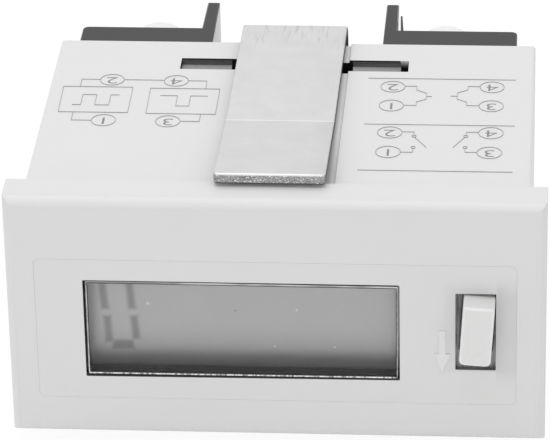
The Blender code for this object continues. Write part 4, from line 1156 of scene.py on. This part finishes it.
prints = {
    "level": shell["top"], "film": 0.02, "lineWidth": 0.105, "ringRadius": 1.12, "dotRadius": 0.2,
    "numberSize": 1.9, "numberWeight": -0.02, "numberSpread": 1.35,
    "rings": [
        (-16.8, 25.55, "2"), (-10.8, 25.5, "4"), (-16.75, 17.2, "1"), (-10.83, 17.15, "3"),
        (9.42, 24.9, "2"), (9.44, 21.0, "1"), (18.6, 25.05, "4"), (18.6, 21.15, "3"),
        (9.54, 15.55, "2"), (9.55, 11.7, "1"), (18.7, 15.7, "4"), (18.65, 11.8, "3"),
    ],
    "lines": [
        [(-21.2, 24.05), (-14.7, 24.05), (-14.7, 18.8), (-21.1, 18.8), (-21.2, 24.05)],
        [(-13.05, 23.9), (-6.6, 23.9), (-6.6, 18.7), (-13.0, 18.7), (-13.05, 23.9)],
        [(-17.92, 25.6), (-19.65, 25.6), (-19.65, 24.1)], [(-15.68, 25.6), (-11.92, 25.6)],
        [(-9.68, 25.55), (-7.93, 25.55), (-7.93, 23.95)],
        [(-19.72, 18.75), (-19.72, 17.15), (-17.87, 17.15)],
        [(-7.95, 18.65), (-7.95, 17.2), (-9.71, 17.2)],
        [(7.05, 26.62), (20.75, 26.62)], [(7.15, 17.18), (20.85, 17.18)], [(6.95, 8.1), (20.8, 8.1)],
        [(10.54, 25.05), (11.65, 25.05), (11.65, 24.3), (12.6, 23.6), (12.6, 22.4),
         (11.7, 21.8), (11.7, 21.1), (10.56, 21.1)],
        [(12.6, 22.95), (13.1, 22.95)],
        [(17.5, 25.15), (16.38, 25.15), (16.38, 24.45), (15.43, 23.75), (15.43, 22.5),
         (16.34, 21.9), (16.34, 21.2), (17.5, 21.2)],
        [(15.43, 23.1), (14.8, 23.1)],
        [(10.68, 15.72), (11.76, 15.72), (11.76, 15.1)], [(11.85, 14.65), (12.95, 12.7)],
        [(10.68, 11.7), (11.76, 11.7), (11.76, 12.4)], [(16.33, 14.75), (15.35, 12.75)],
        [(17.6, 15.82), (16.48, 15.82), (16.48, 15.2)],
        [(17.55, 11.85), (16.45, 11.85), (16.45, 12.5)],
        [(-20.0, 20.3), (-19.2, 20.3), (-19.2, 22.4), (-17.9, 22.4), (-17.9, 20.3),
         (-16.6, 20.3), (-16.6, 22.4), (-15.8, 22.4)],
        [(-12.0, 22.4), (-10.4, 22.4), (-10.4, 20.3), (-9.2, 20.3), (-9.2, 22.4), (-7.6, 22.4)],
    ],
    "dots": [(11.77, 14.88), (11.77, 12.66), (16.45, 14.98), (16.45, 12.78)],
}


def buildPrints(p):
    level = p["level"] + p["film"] / 4
    lines = wireFrame([[spot(x, y, level) for x, y in line] for line in p["lines"]])
    sizes = {"Width": p["lineWidth"] * mm, "Film": p["film"] * mm, "Finish": finishes["ink"]}
    made = [recipes["ink"].grow("printedLines", lines, **sizes)]
    for name, points, radius, steps in (
        ("printedRings", [r[:2] for r in p["rings"]], p["ringRadius"], 40),
        ("printedDots", p["dots"], p["dotRadius"], 16),
    ):
        places = wireFrame([[spot(x, y, level)] for x, y in points])
        made.append(recipes["rings"].grow(name, places, Radius=radius * mm, Steps=steps, **sizes))
    return made


def buildNumbers(p):
    whole = bmesh.new()
    for x, y, text in p["rings"]:
        letters = bpy.data.curves.new("number", "FONT")
        letters.body = text
        letters.size = p["numberSize"] * mm
        letters.extrude = p["film"] * mm / 2
        letters.offset = p["numberWeight"] * mm
        letters.align_x = "CENTER"
        letters.align_y = "CENTER"
        letters.resolution_u = 4
        obj = linked("number", letters)
        mesh = meshOf(obj)
        place = Matrix.Translation(spot(x, y, p["level"] + p["film"] / 4))
        wider = Matrix.Diagonal((p["numberSpread"], 1.0, 1.0, 1.0))
        mesh.transform(place @ Matrix.Rotation(math.pi, 4, "Z") @ wider)
        whole.from_mesh(mesh)
        bpy.data.objects.remove(obj)
        bpy.data.meshes.remove(mesh)
    return fromShape("printedNumbers", whole)


for piece in (*buildPrints(prints), buildNumbers(prints)):
    settle(piece, "housing", "case_grey", "ink")
print("prints made")


# Inside pieces keep their CAD shape and get a finish

inside = {
    "rubber": ("contact_strip_upper", "contact_strip_lower", "reset_contact"),
    "board": ("front_board", "terminal_board"),
    "resin": ("counter_chip", "resistor_array"),
    "tab": ("battery_tab_positive", "battery_tab_negative"),
    "can": ("crystal",), "capacitor": ("capacitor",), "cell": ("battery",),
    "black": ("board_link",),
}
for finish, nodes in inside.items():
    for node in nodes:
        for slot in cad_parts[node].material_slots:
            slot.material = finishes[finish]


# Floor, light and camera

def brightFloor():
    # where a camera, a mirror or glass shows it, it is nearly white with a trace of the shadow
    floor = Look("floorWhite", 0.96)
    floor.set("Roughness", 0.9)
    glow = floor.node("Emission", {"Color": paint(1.0), "Strength": 1.03})
    plain = Wire(floor, floor.shader.outputs[0])
    blend = floor.node("MixShader", {0: floor.shown() * 0.9, 1: plain, 2: glow})
    floor.feed(floor.graph.nodes["Material Output"].inputs[0], blend)
    return floor.material


def buildFloor(reach=1.5):
    shape = bmesh.new()
    bmesh.ops.create_grid(shape, x_segments=1, y_segments=1, size=reach)
    obj = fromShape("floor", shape)
    obj.data.materials.append(brightFloor())


def lightWorld(strength):
    # white where it is shown, and of the given strength as a light
    world = bpy.data.worlds.new("studio")
    bpy.context.scene.world = world
    world.use_nodes = True
    tree = Tree(world.node_tree)
    background = world.node_tree.nodes["Background"]
    tree.feed(background.inputs["Color"], paint(1.0))
    tree.feed(background.inputs["Strength"], tree.shown() * (1.0 - strength) + strength)


def softLamp(name, place, size, power):
    # a square lamp that faces the part
    lamp = bpy.data.lights.new(name, "AREA")
    lamp.size = size
    lamp.energy = power
    obj = linked(name, lamp)
    obj.location = place
    aim = Vector((0, 0, 0.01)) - Vector(place)
    obj.rotation_euler = aim.to_track_quat("-Z", "Y").to_euler()


shot = {
    # solved from the bezel's corners: millimetres from the middle of the front, and degrees
    "place": (25.38, -315.54, 179.85), "yaw": 4.567, "pitch": 28.177, "roll": -1.243,
    "lens": 268.32,
}


def placeCamera(s):
    yaw, pitch, roll = (math.radians(s[k]) for k in ("yaw", "pitch", "roll"))
    turn = Matrix.Rotation(yaw, 4, "Z") @ Matrix.Rotation(math.pi / 2 - pitch, 4, "X")
    data = bpy.data.cameras.new("camera")
    data.lens = s["lens"]
    data.sensor_width = 36.0
    data.clip_start = 0.01
    data.clip_end = 10.0
    camera = linked("camera", data)
    place = Matrix.Translation(spot(*s["place"]))
    camera.matrix_world = place @ turn @ Matrix.Rotation(roll, 4, "Z")
    bpy.context.scene.camera = camera


buildFloor()
lightWorld(0.65)
softLamp("topLight", (-0.1, 0.05, 0.7), 0.7, 2.1)
softLamp("frontLight", (-0.05, -0.9, 0.25), 0.6, 0.76)
placeCamera(shot)
bpy.context.scene.view_settings.view_transform = "Standard"
print("floor, light and camera placed")
